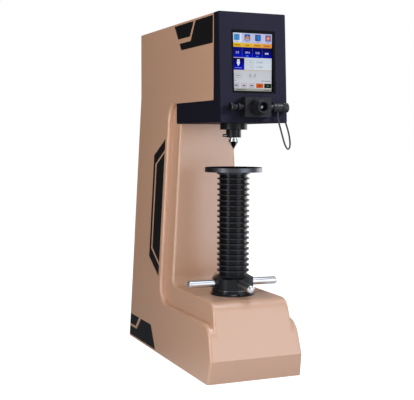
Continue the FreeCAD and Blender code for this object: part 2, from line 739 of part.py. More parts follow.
def toothed(rad, bore_r, teeth, low, high, hub_r):
    """Flanged timing pulley about local Z."""
    core = turned([(bore_r, low), (hub_r, low), (hub_r, low + 3.0), (rad + 1.4, low + 3.0),
                   (rad + 1.4, low + 4.0), (rad, low + 4.0), (rad, high - 1.0),
                   (rad + 1.4, high - 1.0), (rad + 1.4, high), (bore_r, high)])
    notch = [rod(0.8, high - low - 5.0,
                 rad * math.cos(2 * math.pi * i / teeth),
                 rad * math.sin(2 * math.pi * i / teeth), low + 4.0)
             for i in range(teeth)]
    return cut(core, *notch)


node("screw_pulley", toothed(26.0, 6.0, 32, 784.0, 801.0, 12.0))
small = toothed(13.0, 4.0, 16, 784.0, 801.0, 9.0)
place(small, 0.0, S["motor_y"], 0.0)
small_hold = doc.addObject("Part::Compound", fresh("moved"))
small_hold.Links = [small]
node("motor_pulley", small_hold)


def belt_loop(r1, r2, dist, low, high):
    """Closed band round two pulleys on the Y axis, as a filled slab."""
    a = math.asin((r1 - r2) / dist)
    c, s = math.cos(a), math.sin(a)
    p1 = V(r1 * c, -0.0 + r1 * s, low)
    p2 = V(r2 * c, dist + r2 * s, low)
    p3 = V(-r2 * c, dist + r2 * s, low)
    p4 = V(-r1 * c, r1 * s, low)
    e1 = Part.LineSegment(p1, p2).toShape()
    e2 = Part.Arc(p2, V(0, dist + r2, low), p3).toShape()
    e3 = Part.LineSegment(p3, p4).toShape()
    e4 = Part.Arc(p4, V(0, -r1, low), p1).toShape()
    return Part.Face(Part.Wire([e1, e2, e3, e4])).extrude(V(0, 0, high - low))


belt = doc.addObject("Part::Feature", "belt")
my = S["motor_y"].value
belt.Shape = belt_loop(27.9, 14.9, my, 789.0, 799.0).cut(belt_loop(26.3, 13.3, my, 788.0, 800.0))
node("drive_belt", belt)

# ================================================================ power supply
psu = fused(box(-45.0, 45.0, 330.0, 372.0, 300.0, 460.0),
            box(-47.0, 47.0, 372.0, 374.0, 290.0, 470.0))
node("power_supply", psu)

# ================================================================ lifting screw
guide_bush = turned([(38.3, S["deck_z"] - 24), (46.0, S["deck_z"] - 24), (46.0, S["deck_z"]),
                     (38.3, S["deck_z"])])
node("guide_bush", guide_bush)
ring = turned([(41.0, S["deck_z"]), (S["ring_rad"], S["deck_z"]), (S["ring_rad"], S["deck_z"] + 2.5),
               (49.9, S["deck_z"] + 5.5), (49.6, S["hub_low"] - 0.8), (48.0, S["hub_low"] - 0.8),
               (48.0, S["deck_z"] + 2.5), (41.0, S["deck_z"] + 2.5)])
node("base_ring", ring)
node("thrust_race_lower", turned([(41.3, S["deck_z"] + 2.5), (47.7, S["deck_z"] + 2.5),
                                  (47.7, S["deck_z"] + 5.5), (41.3, S["deck_z"] + 5.5)]))
node("thrust_race_upper", turned([(41.3, S["hub_low"] - 2.8), (47.3, S["hub_low"] - 2.8),
                                  (47.3, S["hub_low"]), (41.3, S["hub_low"])]))
balls = [ball(2.1, 44.4 * math.cos(math.radians(15 * i)),
              44.4 * math.sin(math.radians(15 * i)), S["deck_z"] + 7.75) for i in range(24)]
node("thrust_balls", group(*balls))

hub_core = turned([(S["nut_rad"], S["hub_low"]), (S["hub_rad"], S["hub_low"]),
                   (S["hub_rad"], S["hub_shoulder"]), (39.8, S["hub_high"]),
                   (38.5, S["hub_high"]), (38.5, S["hub_shoulder"] + 2),
                   (S["nut_rad"], S["hub_shoulder"] + 2)])
# the hub stands turned a little, as photographed
hub_turn = FreeCAD.Rotation(V(0, 0, 1), -2.5)
rod_holes = []
for rot in (TO_X, TO_Y, TO_NX, TO_NY):
    way = hub_turn.multiply(rot)
    foot = way.multVec(V(0, 0, 40))
    rod_holes.append(rod(S["rod_rad"], 12.0, foot.x, foot.y, S["rod_z"], way))
node("capstan_hub", cut(hub_core, *rod_holes))
node("lift_nut", turned([(S["nut_bore"], S["hub_low"]), (S["nut_rad"], S["hub_low"]),
                         (S["nut_rad"], S["hub_shoulder"] + 2), (S["nut_bore"], S["hub_shoulder"] + 2)]))
handles = []
for k, rot in enumerate((TO_X, TO_Y, TO_NX, TO_NY)):
    r0, r1, rr = 43.6, S["rod_tip"], S["rod_rad"]
    bar = turned([(0.0, r0), (rr, r0), (rr, r1 - 5.6), (rr * 0.92, r1 - 3.2),
                  (rr * 0.66, r1 - 1.2), (rr * 0.3, r1 - 0.2), (0.0, r1)])
    place(bar, 0.0, 0.0, S["rod_z"], hub_turn.multiply(rot))
    handles.append(bar)
node("handle_rods", group(*handles))

lift = doc.addObject("PartDesign::Body", "lift_body")
core_sk = body_sketch(lift, "XZ_Plane", [[
    (0.0, S["screw_foot"]), (S["core_rad"] - 2, S["screw_foot"]),
    (S["core_rad"], S["screw_foot"] + 2), (S["core_rad"], S["screw_top"] - 5),
    (S["ridge_rad"] + 0.5, S["screw_top"] - 5), (S["ridge_rad"] + 0.5, S["screw_top"]),
    (S["stem_rad"] + S["run_gap"], S["screw_top"]),
    (S["stem_rad"] + S["run_gap"], S["screw_top"] - S["stem_len"] - 3),
    (0.0, S["screw_top"] - S["stem_len"] - 6)]])
core = lift.newObject("PartDesign::Revolution", "lift_core")
core.Profile = core_sk
core.ReferenceAxis = (core_sk, ["V_Axis"])
core.Angle = 360
ridge_sk = body_sketch(lift, "XZ_Plane", [[
    (S["core_rad"] - 0.5, S["ridge_first"] - 3.0), (S["core_rad"], S["ridge_first"] - 2.9),
    (S["ridge_rad"], S["ridge_first"] - 1.8), (S["ridge_rad"], S["ridge_first"] + 1.8),
    (S["core_rad"], S["ridge_first"] + 2.9), (S["core_rad"] - 0.5, S["ridge_first"] + 3.0)]])
ridge = lift.newObject("PartDesign::Revolution", "lift_ridge")
ridge.Profile = ridge_sk
ridge.ReferenceAxis = (ridge_sk, ["V_Axis"])
ridge.Angle = 360
lift.Tip = ridge
doc.recompute()
ridges = lift.newObject("PartDesign::LinearPattern", "lift_ridges")
ridges.Originals = [ridge]
ridges.Direction = (ridge_sk, ["V_Axis"])
ridges.Occurrences = int(S["ridge_count"].value)
ridges.Length = S["pitch"].value * (S["ridge_count"].value - 1)
ridges.setExpression("Length", "Sizes.pitch * (Sizes.ridge_count - 1)")
lift.Tip = ridges
doc.recompute()
hp = S["post_side"] / 2 + 0.1
bore_sk = body_sketch(lift, "XY_Plane", [rect(-hp, hp, -hp, hp)], S["screw_foot"] - 1)
bore_f = lift.newObject("PartDesign::Pocket", "lift_bore")
bore_f.Profile = bore_sk
bore_f.Length = 216.0
bore_f.Reversed = True
lift.Tip = bore_f
for o in (core_sk, ridge_sk, bore_sk):
    o.Visibility = False
node("elevating_screw", lift)

ps = S["post_side"] / 2
node("guide_post", slab("XY_Plane", [rect(-ps, ps, -ps, ps)], S["plate_t"] - 0.1, S["post_top"]))

at = S["screw_top"] + S["anvil_thick"]
anvil = turned([(0.0, S["screw_top"] - S["stem_len"]), (S["stem_rad"] - 1.5, S["screw_top"] - S["stem_len"]),
                (S["stem_rad"], S["screw_top"] - S["stem_len"] + 1.5), (S["stem_rad"], S["screw_top"] + 0.05),
                (S["anvil_rad"] - 0.8, S["screw_top"] + 0.05), (S["anvil_rad"], S["screw_top"] + 0.8),
                (S["anvil_rad"], at - 0.8), (S["anvil_rad"] - 0.8, at), (0.0, at)])
node("anvil", anvil)

# ================================================================ eyepiece unit
mb = cut(
    box(-S["micro_half"], S["micro_half"], S["micro_front"], S["micro_back"],
        S["micro_low"], S["micro_high"]),
    rod(12.0, 30.0, 0.0, -105.0, S["micro_z"], TO_NY),
    box(-24.0, 24.0, -125.2, -119.0, S["micro_z"] - 13, S["micro_z"] + 13),
    rod(3.55, 40.0, -60.0, S["knob_y"], S["micro_z"], TO_X),
    rod(4.05, 30.0, 22.0, S["knob_y"], S["micro_z"], TO_X))
node("micrometer_body", mb)
# the tube through the cover, with the mirror box behind it
tube = turned([(11.0, 0.0), (17.0, 0.0), (17.0, 9.0), (14.5, 9.0), (14.5, 66.0), (11.0, 66.0)])
place(tube, 0.0, S["micro_back"], S["micro_z"], TO_Y)
node("microscope_tube", tube)
# two glass plates, each with one measuring line
node("left_line_plate", box(-11.0, 9.0, -124.6, -123.6, S["micro_z"] - 9, S["micro_z"] + 9))
node("right_line_plate", box(-9.0, 11.0, -123.0, -122.0, S["micro_z"] - 9, S["micro_z"] + 9))

barrel = turned([(12.0, 0.0), (20.2, 0.0), (20.2, 3.0), (19.4, 3.8), (19.4, 9.4), (18.4, 9.8), (12.0, 9.8)])
place(barrel, 0.0, S["micro_front"], S["micro_z"], TO_NY)
node("eyepiece_barrel", barrel)
eye = turned([(10.2, -1.0), (11.95, -1.0), (11.95, 10.1), (18.2, 10.1), (17.4, 14.0), (15.4, 22.0),
              (14.2, 27.4), (13.6, 28.2), (11.0, 28.2), (9.7, 26.8), (9.7, 18.0), (10.2, 17.6),
              (10.2, 14.2)])
place(eye, 0.0, S["micro_front"], S["micro_z"], TO_NY)
node("eyepiece_ring", eye)
lens = turned([(0.0, 14.4), (10.2, 14.4), (10.2, 17.2), (9.0, 17.9), (6.0, 18.8), (3.0, 19.3), (0.0, 19.5)])
place(lens, 0.0, S["micro_front"], S["micro_z"], TO_NY)
node("eyepiece_lens", lens)

collar = turned([(3.55, 31.8), (6.6, 31.8), (8.8, 44.8), (8.4, 45.8), (3.55, 45.8)])
place(collar, 0.0, S["knob_y"], S["micro_z"], TO_NX)
node("left_collar", collar)
lknob = turned([(0.0, 26.0), (3.5, 26.0), (3.5, 46.4), (5.6, 46.9), (6.0, 50.0), (6.9, 55.0), (8.6, 60.0),
                (9.2, 61.0), (9.2, 63.6), (8.7, 64.3), (0.0, 64.3)])
place(lknob, 0.0, S["knob_y"], S["micro_z"], TO_NX)
node("left_knob", lknob)
enc = turned([(4.05, 31.8), (7.6, 31.8), (7.6, 39.6), (10.4, 39.6), (10.8, 40.0), (10.8, 61.6),
              (10.4, 62.0), (4.05, 62.0)])
place(enc, 0.0, S["knob_y"], S["micro_z"], TO_X)
enc_hole = rod(2.6, 5.0, 52.5, S["knob_y"], 600.0)
node("encoder_housing", cut(enc, enc_hole))
rknob = turned([(0.0, 26.0), (4.0, 26.0), (4.0, 62.6), (10.3, 62.6), (10.7, 63.0), (10.7, 76.4),
                (10.0, 77.1), (0.0, 77.1)])
place(rknob, 0.0, S["knob_y"], S["micro_z"], TO_X)
node("right_knob", rknob)

# ================================================================ encoder lead
relief = cut(rod(2.6, 5.0, 52.5, S["knob_y"], 600.0),
             rod(2.12, 9.0, 52.5, S["knob_y"], 598.0))
node("cable_bush", relief)
socket = turned([(4.5, 0.0), (6.0, 0.0), (6.0, 4.6), (8.0, 4.6), (8.0, 6.4), (4.5, 6.4)])
place(socket, 78.0, -66.0, 615.0, TO_X)
node("cable_socket", socket)
plug_turn = turned([(0.0, 0.0), (4.4, 0.0), (4.4, 6.6), (5.4, 6.6), (5.4, 20.4), (4.6, 21.4), (0.0, 21.4)])
place(plug_turn, 79.0, -66.0, 615.0, TO_X)
plug_leg = fused(rod(3.1, 6.0, 96.5, -66.0, 608.1), cone(2.5, 3.1, 1.5, 96.5, -66.0, 606.6))
node("cable_plug", fused(plug_turn, plug_leg))

# the loop: down from the measuring drum, under the cover's corner and up to the plug
ROUTE = [(52.5, -121.0, 604.9), (52.5, -121.0, 594.5), (55.4, -120.2, 583.5), (59.9, -118.3, 572.5),
         (64.8, -116.0, 561.0), (69.9, -113.2, 549.0), (75.8, -109.8, 536.0), (83.4, -104.8, 525.0),
         (92.0, -98.4, 519.5), (99.8, -91.6, 523.0), (104.4, -85.4, 532.8), (105.4, -80.4, 546.0),
         (104.3, -76.2, 560.0), (102.0, -72.0, 573.5), (99.0, -68.3, 585.5), (96.7, -66.2, 596.0),
         (96.5, -66.0, 606.6)]


def tube_path(points):
    """Straight runs joined by tangent arcs as large as the runs allow."""
    pts = [V(*p) for p in points]
    edges = []
    radii = []
    start = pts[0]
    total = 0.0
    for i in range(1, len(pts) - 1):
        a, b, c = pts[i - 1], pts[i], pts[i + 1]
        u = (a - b)
        v = (c - b)
        lu, lv = u.Length, v.Length
        u.normalize()
        v.normalize()
        turn = math.pi - u.getAngle(v)
        trim = 0.45 * min(lu, lv)
        rad = trim / math.tan(turn / 2)
        radii.append(rad)
        p = b + u * trim
        r = b + v * trim
        bis = u + v
        bis.normalize()
        m = b + bis * (rad / math.cos(turn / 2) - rad)
        edges.append(Part.LineSegment(start, p).toShape())
        edges.append(Part.Arc(p, m, r).toShape())
        total += (p - start).Length + rad * turn
        start = r
    edges.append(Part.LineSegment(start, pts[-1]).toShape())
    total += (pts[-1] - start).Length
    return Part.Wire(edges), radii, total


wire, radii, run = tube_path(ROUTE)
rad_c = S["cable_dia"].value / 2
ring_c = Part.Wire([Part.Circle(V(*ROUTE[0]), V(*ROUTE[1]) - V(*ROUTE[0]), rad_c).toShape()])
cord = doc.addObject("Part::Feature", "cord")
cord.Shape = wire.makePipeShell([ring_c], True, False)
node("encoder_cable", cord)
print("cable: length %.1f, smallest radius %.1f (%s)" % (run, min(radii), ", ".join("%.0f" % r for r in radii)))
print("cable: volume %.1f against %.1f" % (cord.Shape.Volume, math.pi * rad_c ** 2 * run))

# ================================================================ side trim
FILM = 0.4


head_a = [(171.5, 818.0), (46.5, 818.0), (70.2, 784.5), (146.6, 784.5)]
head_b = [(35.3, 818.0), (-67.0, 818.0), (-67.0, 757.0), (125.6, 757.0), (137.6, 773.3), (66.0, 773.3)]
col_a = [(221.5, 542.0), (299.0, 500.0), (299.6, 236.0), (222.5, 193.5), (222.0, 219.5),
         (288.0, 257.5), (287.0, 478.0), (221.5, 515.0)]
col_b = [(222.0, 507.0), (276.5, 477.0), (278.0, 261.0), (222.0, 227.5)]
low_a = [(427.5, 61.0), (357.4, 61.0), (381.8, 34.0), (427.5, 34.0)]
low_b = [(340.3, 61.0), (261.7, 61.0), (220.3, 4.7), (427.5, 4.7), (427.5, 27.3), (372.1, 27.3)]
trim_blank = prism([head_a, head_b, col_a, col_b, low_a, low_b], "x", -125.0, 125.0)
band = cut(prism([side_outline(-FILM)], "y", -160.0, 460.0),
           prism([side_outline(0.0)], "y", -161.0, 461.0))
node("side_trim", common(trim_blank, band))

# ---------------------------------------------------------------- output
doc.recompute()
bad = []
for o in doc.Objects:
    if "Invalid" in o.State or "Error" in o.State:
        bad.append("%s %s %s" % (o.Name, o.Label, o.State))
for label, o in NODES.items():
    sh = o.Shape
    if sh.isNull() or not sh.isValid() or not sh.Solids:
        bad.append("shape " + label)
if bad:
    raise RuntimeError("; ".join(bad))

os.makedirs("parts", exist_ok=True)
for label, o in NODES.items():
    o.Shape.exportStep("parts/%s.step" % label)
    b = o.Shape.BoundBox
    print("%-20s solids %3d  volume %10.1f  x %7.1f %7.1f  y %7.1f %7.1f  z %7.1f %7.1f" % (
        label, len(o.Shape.Solids), o.Shape.Volume, b.XMin, b.XMax, b.YMin, b.YMax, b.ZMin, b.ZMax))
print(len(NODES), "nodes")
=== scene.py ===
import math

import bmesh
import bpy
from mathutils import Matrix, Vector


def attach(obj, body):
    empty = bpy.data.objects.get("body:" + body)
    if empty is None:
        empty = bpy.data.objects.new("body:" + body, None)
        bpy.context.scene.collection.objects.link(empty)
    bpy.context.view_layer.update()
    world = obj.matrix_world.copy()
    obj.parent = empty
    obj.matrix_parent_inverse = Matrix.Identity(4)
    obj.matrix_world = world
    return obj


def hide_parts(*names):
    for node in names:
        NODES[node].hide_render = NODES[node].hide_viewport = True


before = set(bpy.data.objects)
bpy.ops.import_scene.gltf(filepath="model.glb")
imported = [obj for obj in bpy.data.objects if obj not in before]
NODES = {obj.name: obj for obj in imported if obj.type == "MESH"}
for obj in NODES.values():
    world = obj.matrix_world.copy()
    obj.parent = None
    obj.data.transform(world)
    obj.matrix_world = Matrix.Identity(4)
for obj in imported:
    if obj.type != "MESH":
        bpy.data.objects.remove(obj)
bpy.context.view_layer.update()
MM = 0.001


# ------------------------------------------------------------------ camera
def aim_camera():
    yaw, pitch, roll = math.radians(-22.851), math.radians(3.938), math.radians(0.2043)
    back = Vector((math.sin(yaw) * math.cos(pitch), -math.cos(yaw) * math.cos(pitch), math.sin(pitch)))
    right = (-back).cross(Vector((0, 0, 1))).normalized()
    up = right.cross(-back)
    r2 = right * math.cos(roll) + up * math.sin(roll)
    u2 = -right * math.sin(roll) + up * math.cos(roll)
    m = Matrix.Identity(4)
    for i in range(3):
        m[i][0], m[i][1], m[i][2] = r2[i], u2[i], back[i]
    m.translation = Vector((-0.87455, -1.91626, 0.54455))
    data = bpy.data.cameras.new("camera")
    data.sensor_fit = "HORIZONTAL"
    data.sensor_width = 36.0
    data.lens = 77.90
    data.clip_start, data.clip_end = 0.02, 80.0
    cam = bpy.data.objects.new("camera", data)
    bpy.context.scene.collection.objects.link(cam)
    cam.matrix_world = m
    bpy.context.scene.camera = cam


aim_camera()


# ------------------------------------------------------------------ colours
def lin(r, g, b):
    out = []
    for c in (r, g, b):
        c = c / 255.0
        out.append(c / 12.92 if c <= 0.04045 else ((c + 0.055) / 1.055) ** 2.4)
    return (out[0], out[1], out[2], 1.0)


class Mat:
    """A principled material with a few procedural building blocks."""

    def __init__(self, name, color, rough, metal=0.0, spec=0.5, coat=0.0, coat_rough=0.1, alpha=1.0,
                 ior=1.5, emit=None, emit_power=0.0, aniso=0.0):
        self.m = bpy.data.materials.new(name)
        self.m.use_nodes = True
        self.nt = self.m.node_tree
        self.nt.nodes.clear()
        self.out = self.add("ShaderNodeOutputMaterial")
        self.b = self.add("ShaderNodeBsdfPrincipled")
        self.link(self.b.outputs["BSDF"], self.out.inputs["Surface"])
        i = self.b.inputs
        i["Base Color"].default_value = color
        i["Roughness"].default_value = rough
        i["Metallic"].default_value = metal
        i["Specular IOR Level"].default_value = spec
        i["Coat Weight"].default_value = coat
        i["Coat Roughness"].default_value = coat_rough
        i["IOR"].default_value = ior
        i["Alpha"].default_value = alpha
        i["Anisotropic"].default_value = aniso
        if emit:
            i["Emission Color"].default_value = emit
            i["Emission Strength"].default_value = emit_power
        self.color, self.rough = color, rough
        self._coords = None

    def add(self, kind, **props):
        n = self.nt.nodes.new(kind)
        for k, v in props.items():
            setattr(n, k, v)
        return n

    def link(self, a, b):
        self.nt.links.new(a, b)

    def coords(self):
        if self._coords is None:
            self._coords = self.add("ShaderNodeTexCoord").outputs["Object"]
        return self._coords

    def noise(self, scale, detail=2.0, rough=0.5, stretch=None):
        src = self.coords()
        if stretch:
            mp = self.add("ShaderNodeMapping")
            mp.inputs["Scale"].default_value = stretch
            self.link(src, mp.inputs["Vector"])
            src = mp.outputs["Vector"]
        n = self.add("ShaderNodeTexNoise")
        n.inputs["Scale"].default_value = scale
        n.inputs["Detail"].default_value = detail
        n.inputs["Roughness"].default_value = rough
        self.link(src, n.inputs["Vector"])
        return n.outputs["Fac"]

    def ramp(self, fac, stops):
        r = self.add("ShaderNodeValToRGB")
        e = r.color_ramp.elements
        while len(e) < len(stops):
            e.new(0.5)
        for el, (pos, col) in zip(e, stops):
            el.position = pos
            el.color = col if len(col) == 4 else (*col, 1.0)
        self.link(fac, r.inputs["Fac"])
        return r.outputs["Color"]

    def span(self, fac, lo, hi, a=0.0, b=1.0):
        r = self.add("ShaderNodeMapRange")
        r.inputs["From Min"].default_value = lo
        r.inputs["From Max"].default_value = hi
        r.inputs["To Min"].default_value = a
        r.inputs["To Max"].default_value = b
        self.link(fac, r.inputs["Value"])
        return r.outputs["Result"]

    def mix(self, fac, a, b):
        n = self.add("ShaderNodeMix", data_type="RGBA")
        for sock, v in ((n.inputs[6], a), (n.inputs[7], b)):
            if isinstance(v, tuple):
                sock.default_value = v
            else:
                self.link(v, sock)
        if isinstance(fac, float):
            n.inputs[0].default_value = fac
        else:
            self.link(fac, n.inputs[0])
        return n.outputs[2]

    def vary(self, scale, amount, detail=3.0):
        """Soft lighter and darker areas of the base colour."""
        f = self.span(self.noise(scale, detail), 0.3, 0.7)
        c = self.color
        dark = tuple(x * (1 - amount) for x in c[:3]) + (1.0,)
        light = tuple(min(1.0, x * (1 + amount)) for x in c[:3]) + (1.0,)
        col = self.mix(f, dark, light)
        self.link(col, self.b.inputs["Base Color"])
        return self

    def rough_vary(self, scale, amount, stretch=None):
        f = self.span(self.noise(scale, 3.0, 0.5, stretch), 0.3, 0.7, self.rough - amount, self.rough + amount)
        self.link(f, self.b.inputs["Roughness"])
        return self

    def bump(self, *layers):
        """Each layer: (height socket, strength, distance in metres)."""
        last = None
        for height, strength, dist in layers:
            n = self.add("ShaderNodeBump")
            n.inputs["Strength"].default_value = strength
            n.inputs["Distance"].default_value = dist
            self.link(height, n.inputs["Height"])
            if last is not None:
                self.link(last, n.inputs["Normal"])
            last = n.outputs["Normal"]
        self.link(last, self.b.inputs["Normal"])
        return self


def lathe_lines(mat, axis, pitch, sharp=0.5):
    """Height socket: fine turned grooves a pitch apart along or round an axis."""
    sep = mat.add("ShaderNodeSeparateXYZ")
    mat.link(mat.coords(), sep.inputs["Vector"])
    w = mat.add("ShaderNodeMath", operation="MULTIPLY")
    w.inputs[1].default_value = 2 * math.pi / pitch
    mat.link(sep.outputs[axis], w.inputs[0])
    s = mat.add("ShaderNodeMath", operation="SINE")
    mat.link(w.outputs[0], s.inputs[0])
    return s.outputs[0]


def radial_lines(mat, pitch):
    """Height socket: concentric turning marks about the Z axis."""
    mp = mat.add("ShaderNodeMapping")
    mp.inputs["Scale"].default_value = (1, 1, 0)
    mat.link(mat.coords(), mp.inputs["Vector"])
    ln = mat.add("ShaderNodeVectorMath", operation="LENGTH")
    mat.link(mp.outputs["Vector"], ln.inputs[0])
    w = mat.add("ShaderNodeMath", operation="MULTIPLY")
    w.inputs[1].default_value = 2 * math.pi / pitch
    mat.link(ln.outputs["Value"], w.inputs[0])
    s = mat.add("ShaderNodeMath", operation="SINE")
    mat.link(w.outputs[0], s.inputs[0])
    return s.outputs[0]


TAN = (0.500, 0.285, 0.182, 1.0)
tan_paint = Mat("tan_paint", TAN, 0.36, spec=1.0, coat=0.15, coat_rough=0.24)
tan_paint.vary(4.0, 0.02)
tan_paint.rough_vary(30.0, 0.03)
tan_paint.bump((tan_paint.noise(1500.0, 2.0), 0.16, 0.00006), (tan_paint.noise(260.0, 1.0), 0.10, 0.0001))

rear_paint = Mat("rear_panel_paint", TAN, 0.40, spec=0.5)
rear_paint.vary(6.0, 0.03)
rear_paint.bump((rear_paint.noise(1500.0, 2.0), 0.2, 0.00006))

navy_paint = Mat("navy_paint", (0.0083, 0.0080, 0.0143, 1.0), 0.46, spec=0.03)
navy_paint.vary(8.0, 0.06)
navy_paint.rough_vary(60.0, 0.04)
navy_paint.bump((navy_paint.noise(1900.0, 3.0, 0.6), 0.32, 0.00009), (navy_paint.noise(700.0, 2.0), 0.12, 0.00008))

film = Mat("trim_film", (0.0058, 0.0054, 0.0062, 1.0), 0.33, spec=0.10)
film.vary(9.0, 0.10)
film.bump((film.noise(120.0, 2.0), 0.04, 0.0002))

black_oxide = Mat("black_oxide", lin(15, 15, 18), 0.32, spec=0.26)
black_oxide.vary(22.0, 0.18)
black_oxide.rough_vary(90.0, 0.06)
black_oxide.bump((black_oxide.noise(1100.0, 3.0), 0.10, 0.00005))

hub_black = Mat("hub_black", lin(11, 11, 14), 0.24, spec=0.26)
hub_black.vary(30.0, 0.15)
hub_black.bump((lathe_lines(hub_black, "Z", 0.0008), 0.02, 0.00001), (hub_black.noise(1400.0, 2.0), 0.03, 0.00002))

anvil_black = Mat("anvil_black", lin(20, 20, 23), 0.34, spec=0.0)


def shaded_top_and_rim(mat, painted_shade_top, rim):
    """A dull flat top painted near black, a painted shade, and a blacked metallic
    steel rim, told apart by the surface direction."""
    tc = mat.add("ShaderNodeTexCoord")
    sep = mat.add("ShaderNodeSeparateXYZ")
    mat.link(tc.outputs["Normal"], sep.inputs["Vector"])
    m = mat.span(sep.outputs["Z"], 0.80, 0.95)
    cloud = mat.span(mat.noise(40.0, 3.0), 0.3, 0.7)
    # painted shade: the flat top's colour, kept near black with a little random tone
    top = mat.mix(cloud, tuple(c * 0.85 for c in painted_shade_top) + (1.0,), tuple(c * 1.15 for c in painted_shade_top) + (1.0,))
    mat.link(mat.mix(m, (*rim, 1.0), top), mat.b.inputs["Base Color"])
    mat.link(mat.span(sep.outputs["Z"], 0.80, 0.95, 1.0, 0.0), mat.b.inputs["Metallic"])


# painted shade: the anvil's flat top is coloured near black, far darker than its metallic rim
shaded_top_and_rim(anvil_black, (0.0075, 0.0075, 0.0085), (0.105, 0.105, 0.118))
anvil_black.rough_vary(60.0, 0.05)
anvil_black.bump((radial_lines(anvil_black, 0.0007), 0.07, 0.00002))

thread_black = Mat("thread_black", lin(7, 7, 10), 0.22, spec=0.17)


def crest_wear_and_highlight(mat, start, full, worn_and_lit_crest):
    """Lighter bare steel on the outermost edges of the ridges, over black oxide: partly wear, partly a painted
    highlight for the light the crests catch.
    """
    mp = mat.add("ShaderNodeMapping")
    mp.inputs["Scale"].default_value = (1, 1, 0)
    mat.link(mat.coords(), mp.inputs["Vector"])
    ln = mat.add("ShaderNodeVectorMath", operation="LENGTH")
    mat.link(mp.outputs["Vector"], ln.inputs[0])
    edge = mat.span(ln.outputs["Value"], start, full)
    patch = mat.span(mat.noise(60.0, 3.0), 0.30, 0.60, 0.55, 1.0)
    m = mat.add("ShaderNodeMath", operation="MULTIPLY")
    mat.link(edge, m.inputs[0])
    mat.link(patch, m.inputs[1])
    dark = mat.mix(mat.span(mat.noise(22.0, 3.0), 0.3, 0.7), tuple(c * 0.8 for c in mat.color[:3]) + (1.0,),
                   tuple(c * 1.25 for c in mat.color[:3]) + (1.0,))
    mat.link(mat.mix(m.outputs[0], dark, worn_and_lit_crest), mat.b.inputs["Base Color"])


# painted highlight: the ridge crests are coloured lighter, partly as wear, partly standing in for the light they catch
crest_wear_and_highlight(thread_black, 0.0370, 0.0386, (0.026, 0.026, 0.031, 1.0))
thread_black.rough_vary(50.0, 0.03)
thread_black.bump((lathe_lines(thread_black, "Z", 0.0008), 0.03, 0.00002), (thread_black.noise(500.0, 2.0), 0.03, 0.00003))

chrome = Mat("chrome_plate", (0.60, 0.605, 0.62, 1.0), 0.14, metal=1.0)
chrome.rough_vary(40.0, 0.02)
chrome.bump((chrome.noise(300.0, 2.0), 0.015, 0.00003))

rod_chrome = Mat("rod_chrome_plate", (0.69, 0.675, 0.665, 1.0), 0.30, metal=1.0)
rod_chrome.vary(30.0, 0.03)
rod_chrome.rough_vary(25.0, 0.015)
rod_chrome.bump((rod_chrome.noise(40.0, 0.0), 0.01, 0.00001))

ground_steel = Mat("ground_steel", lin(176, 177, 181), 0.28, metal=1.0)
ground_steel.vary(30.0, 0.05)
ground_steel.rough_vary(200.0, 0.06)
ground_steel.bump((ground_steel.noise(900.0, 2.0), 0.04, 0.00003))

dark_steel = Mat("dark_steel", lin(128, 129, 134), 0.34, metal=1.0)
dark_steel.vary(120.0, 0.10)
dark_steel.bump((dark_steel.noise(1500.0, 2.0), 0.08, 0.00003))

zinc = Mat("zinc_plate", lin(168, 169, 170), 0.32, metal=1.0)
zinc.vary(200.0, 0.08)
zinc.rough_vary(300.0, 0.08)

anodised = Mat("black_anodised", lin(23, 22, 25), 0.42, spec=0.14)
anodised.vary(60.0, 0.10)
anodised.bump((anodised.noise(2200.0, 2.0), 0.14, 0.00005))

# painted shade: the barrel is a darker copy of the black anodising, standing in for the shade on its side
shaded_anodised_barrel = Mat("black_anodised_barrel", lin(12, 12, 14), 0.36, spec=0.16)
shaded_anodised_barrel.vary(60.0, 0.10)
shaded_anodised_barrel.bump((lathe_lines(shaded_anodised_barrel, "Y", 0.0009), 0.03, 0.00001), (shaded_anodised_barrel.noise(1800.0, 2.0), 0.05, 0.00003))

anodised_drum = Mat("black_anodised_drum", lin(13, 12, 15), 0.38, spec=0.22)
anodised_drum.vary(60.0, 0.08)
anodised_drum.bump((lathe_lines(anodised_drum, "X", 0.0009), 0.03, 0.00001), (anodised_drum.noise(1800.0, 2.0), 0.05, 0.00003))

machined = Mat("machined_aluminium", lin(190, 191, 194), 0.34, metal=1.0)
machined.vary(50.0, 0.05)
machined.bump((machined.noise(500.0, 2.0), 0.05, 0.00004))

bronze = Mat("bronze", lin(176, 132, 74), 0.34, metal=1.0)
bronze.vary(70.0, 0.12)
bronze.bump((bronze.noise(600.0, 2.0), 0.06, 0.00004))

matt_plastic = Mat("matt_black_plastic", lin(30, 30, 32), 0.55, spec=0.4)
matt_plastic.vary(90.0, 0.10)
matt_plastic.bump((matt_plastic.noise(2400.0, 2.0), 0.25, 0.00006))

gloss_black = Mat("gloss_black_plastic", lin(12, 12, 14), 0.60, spec=0.0)
gloss_black.vary(60.0, 0.10)
gloss_black.rough_vary(80.0, 0.04)

dark_paint = Mat("dark_paint", lin(44, 44, 47), 0.5, spec=0.4)
dark_paint.vary(20.0, 0.10)
dark_paint.bump((dark_paint.noise(900.0, 2.0), 0.2, 0.00008))

solder_mask = Mat("solder_mask", lin(20, 84, 48), 0.38, spec=0.5)
solder_mask.vary(200.0, 0.15)
solder_mask.bump((solder_mask.noise(900.0, 1.0), 0.2, 0.00008))

rubber = Mat("black_rubber", lin(34, 34, 36), 0.62, spec=0.35)
rubber.vary(120.0, 0.10)
rubber.bump((rubber.noise(1800.0, 2.0), 0.2, 0.00005))

cable_jacket = Mat("cable_jacket", lin(42, 42, 46), 0.42, spec=0.35)
cable_jacket.vary(90.0, 0.12)
cable_jacket.bump((cable_jacket.noise(1500.0, 2.0), 0.12, 0.00004))

lens_glass = Mat("lens_glass", lin(16, 20, 28), 0.04, spec=1.0, coat=1.0, coat_rough=0.02)
lens_glass.vary(60.0, 0.10)

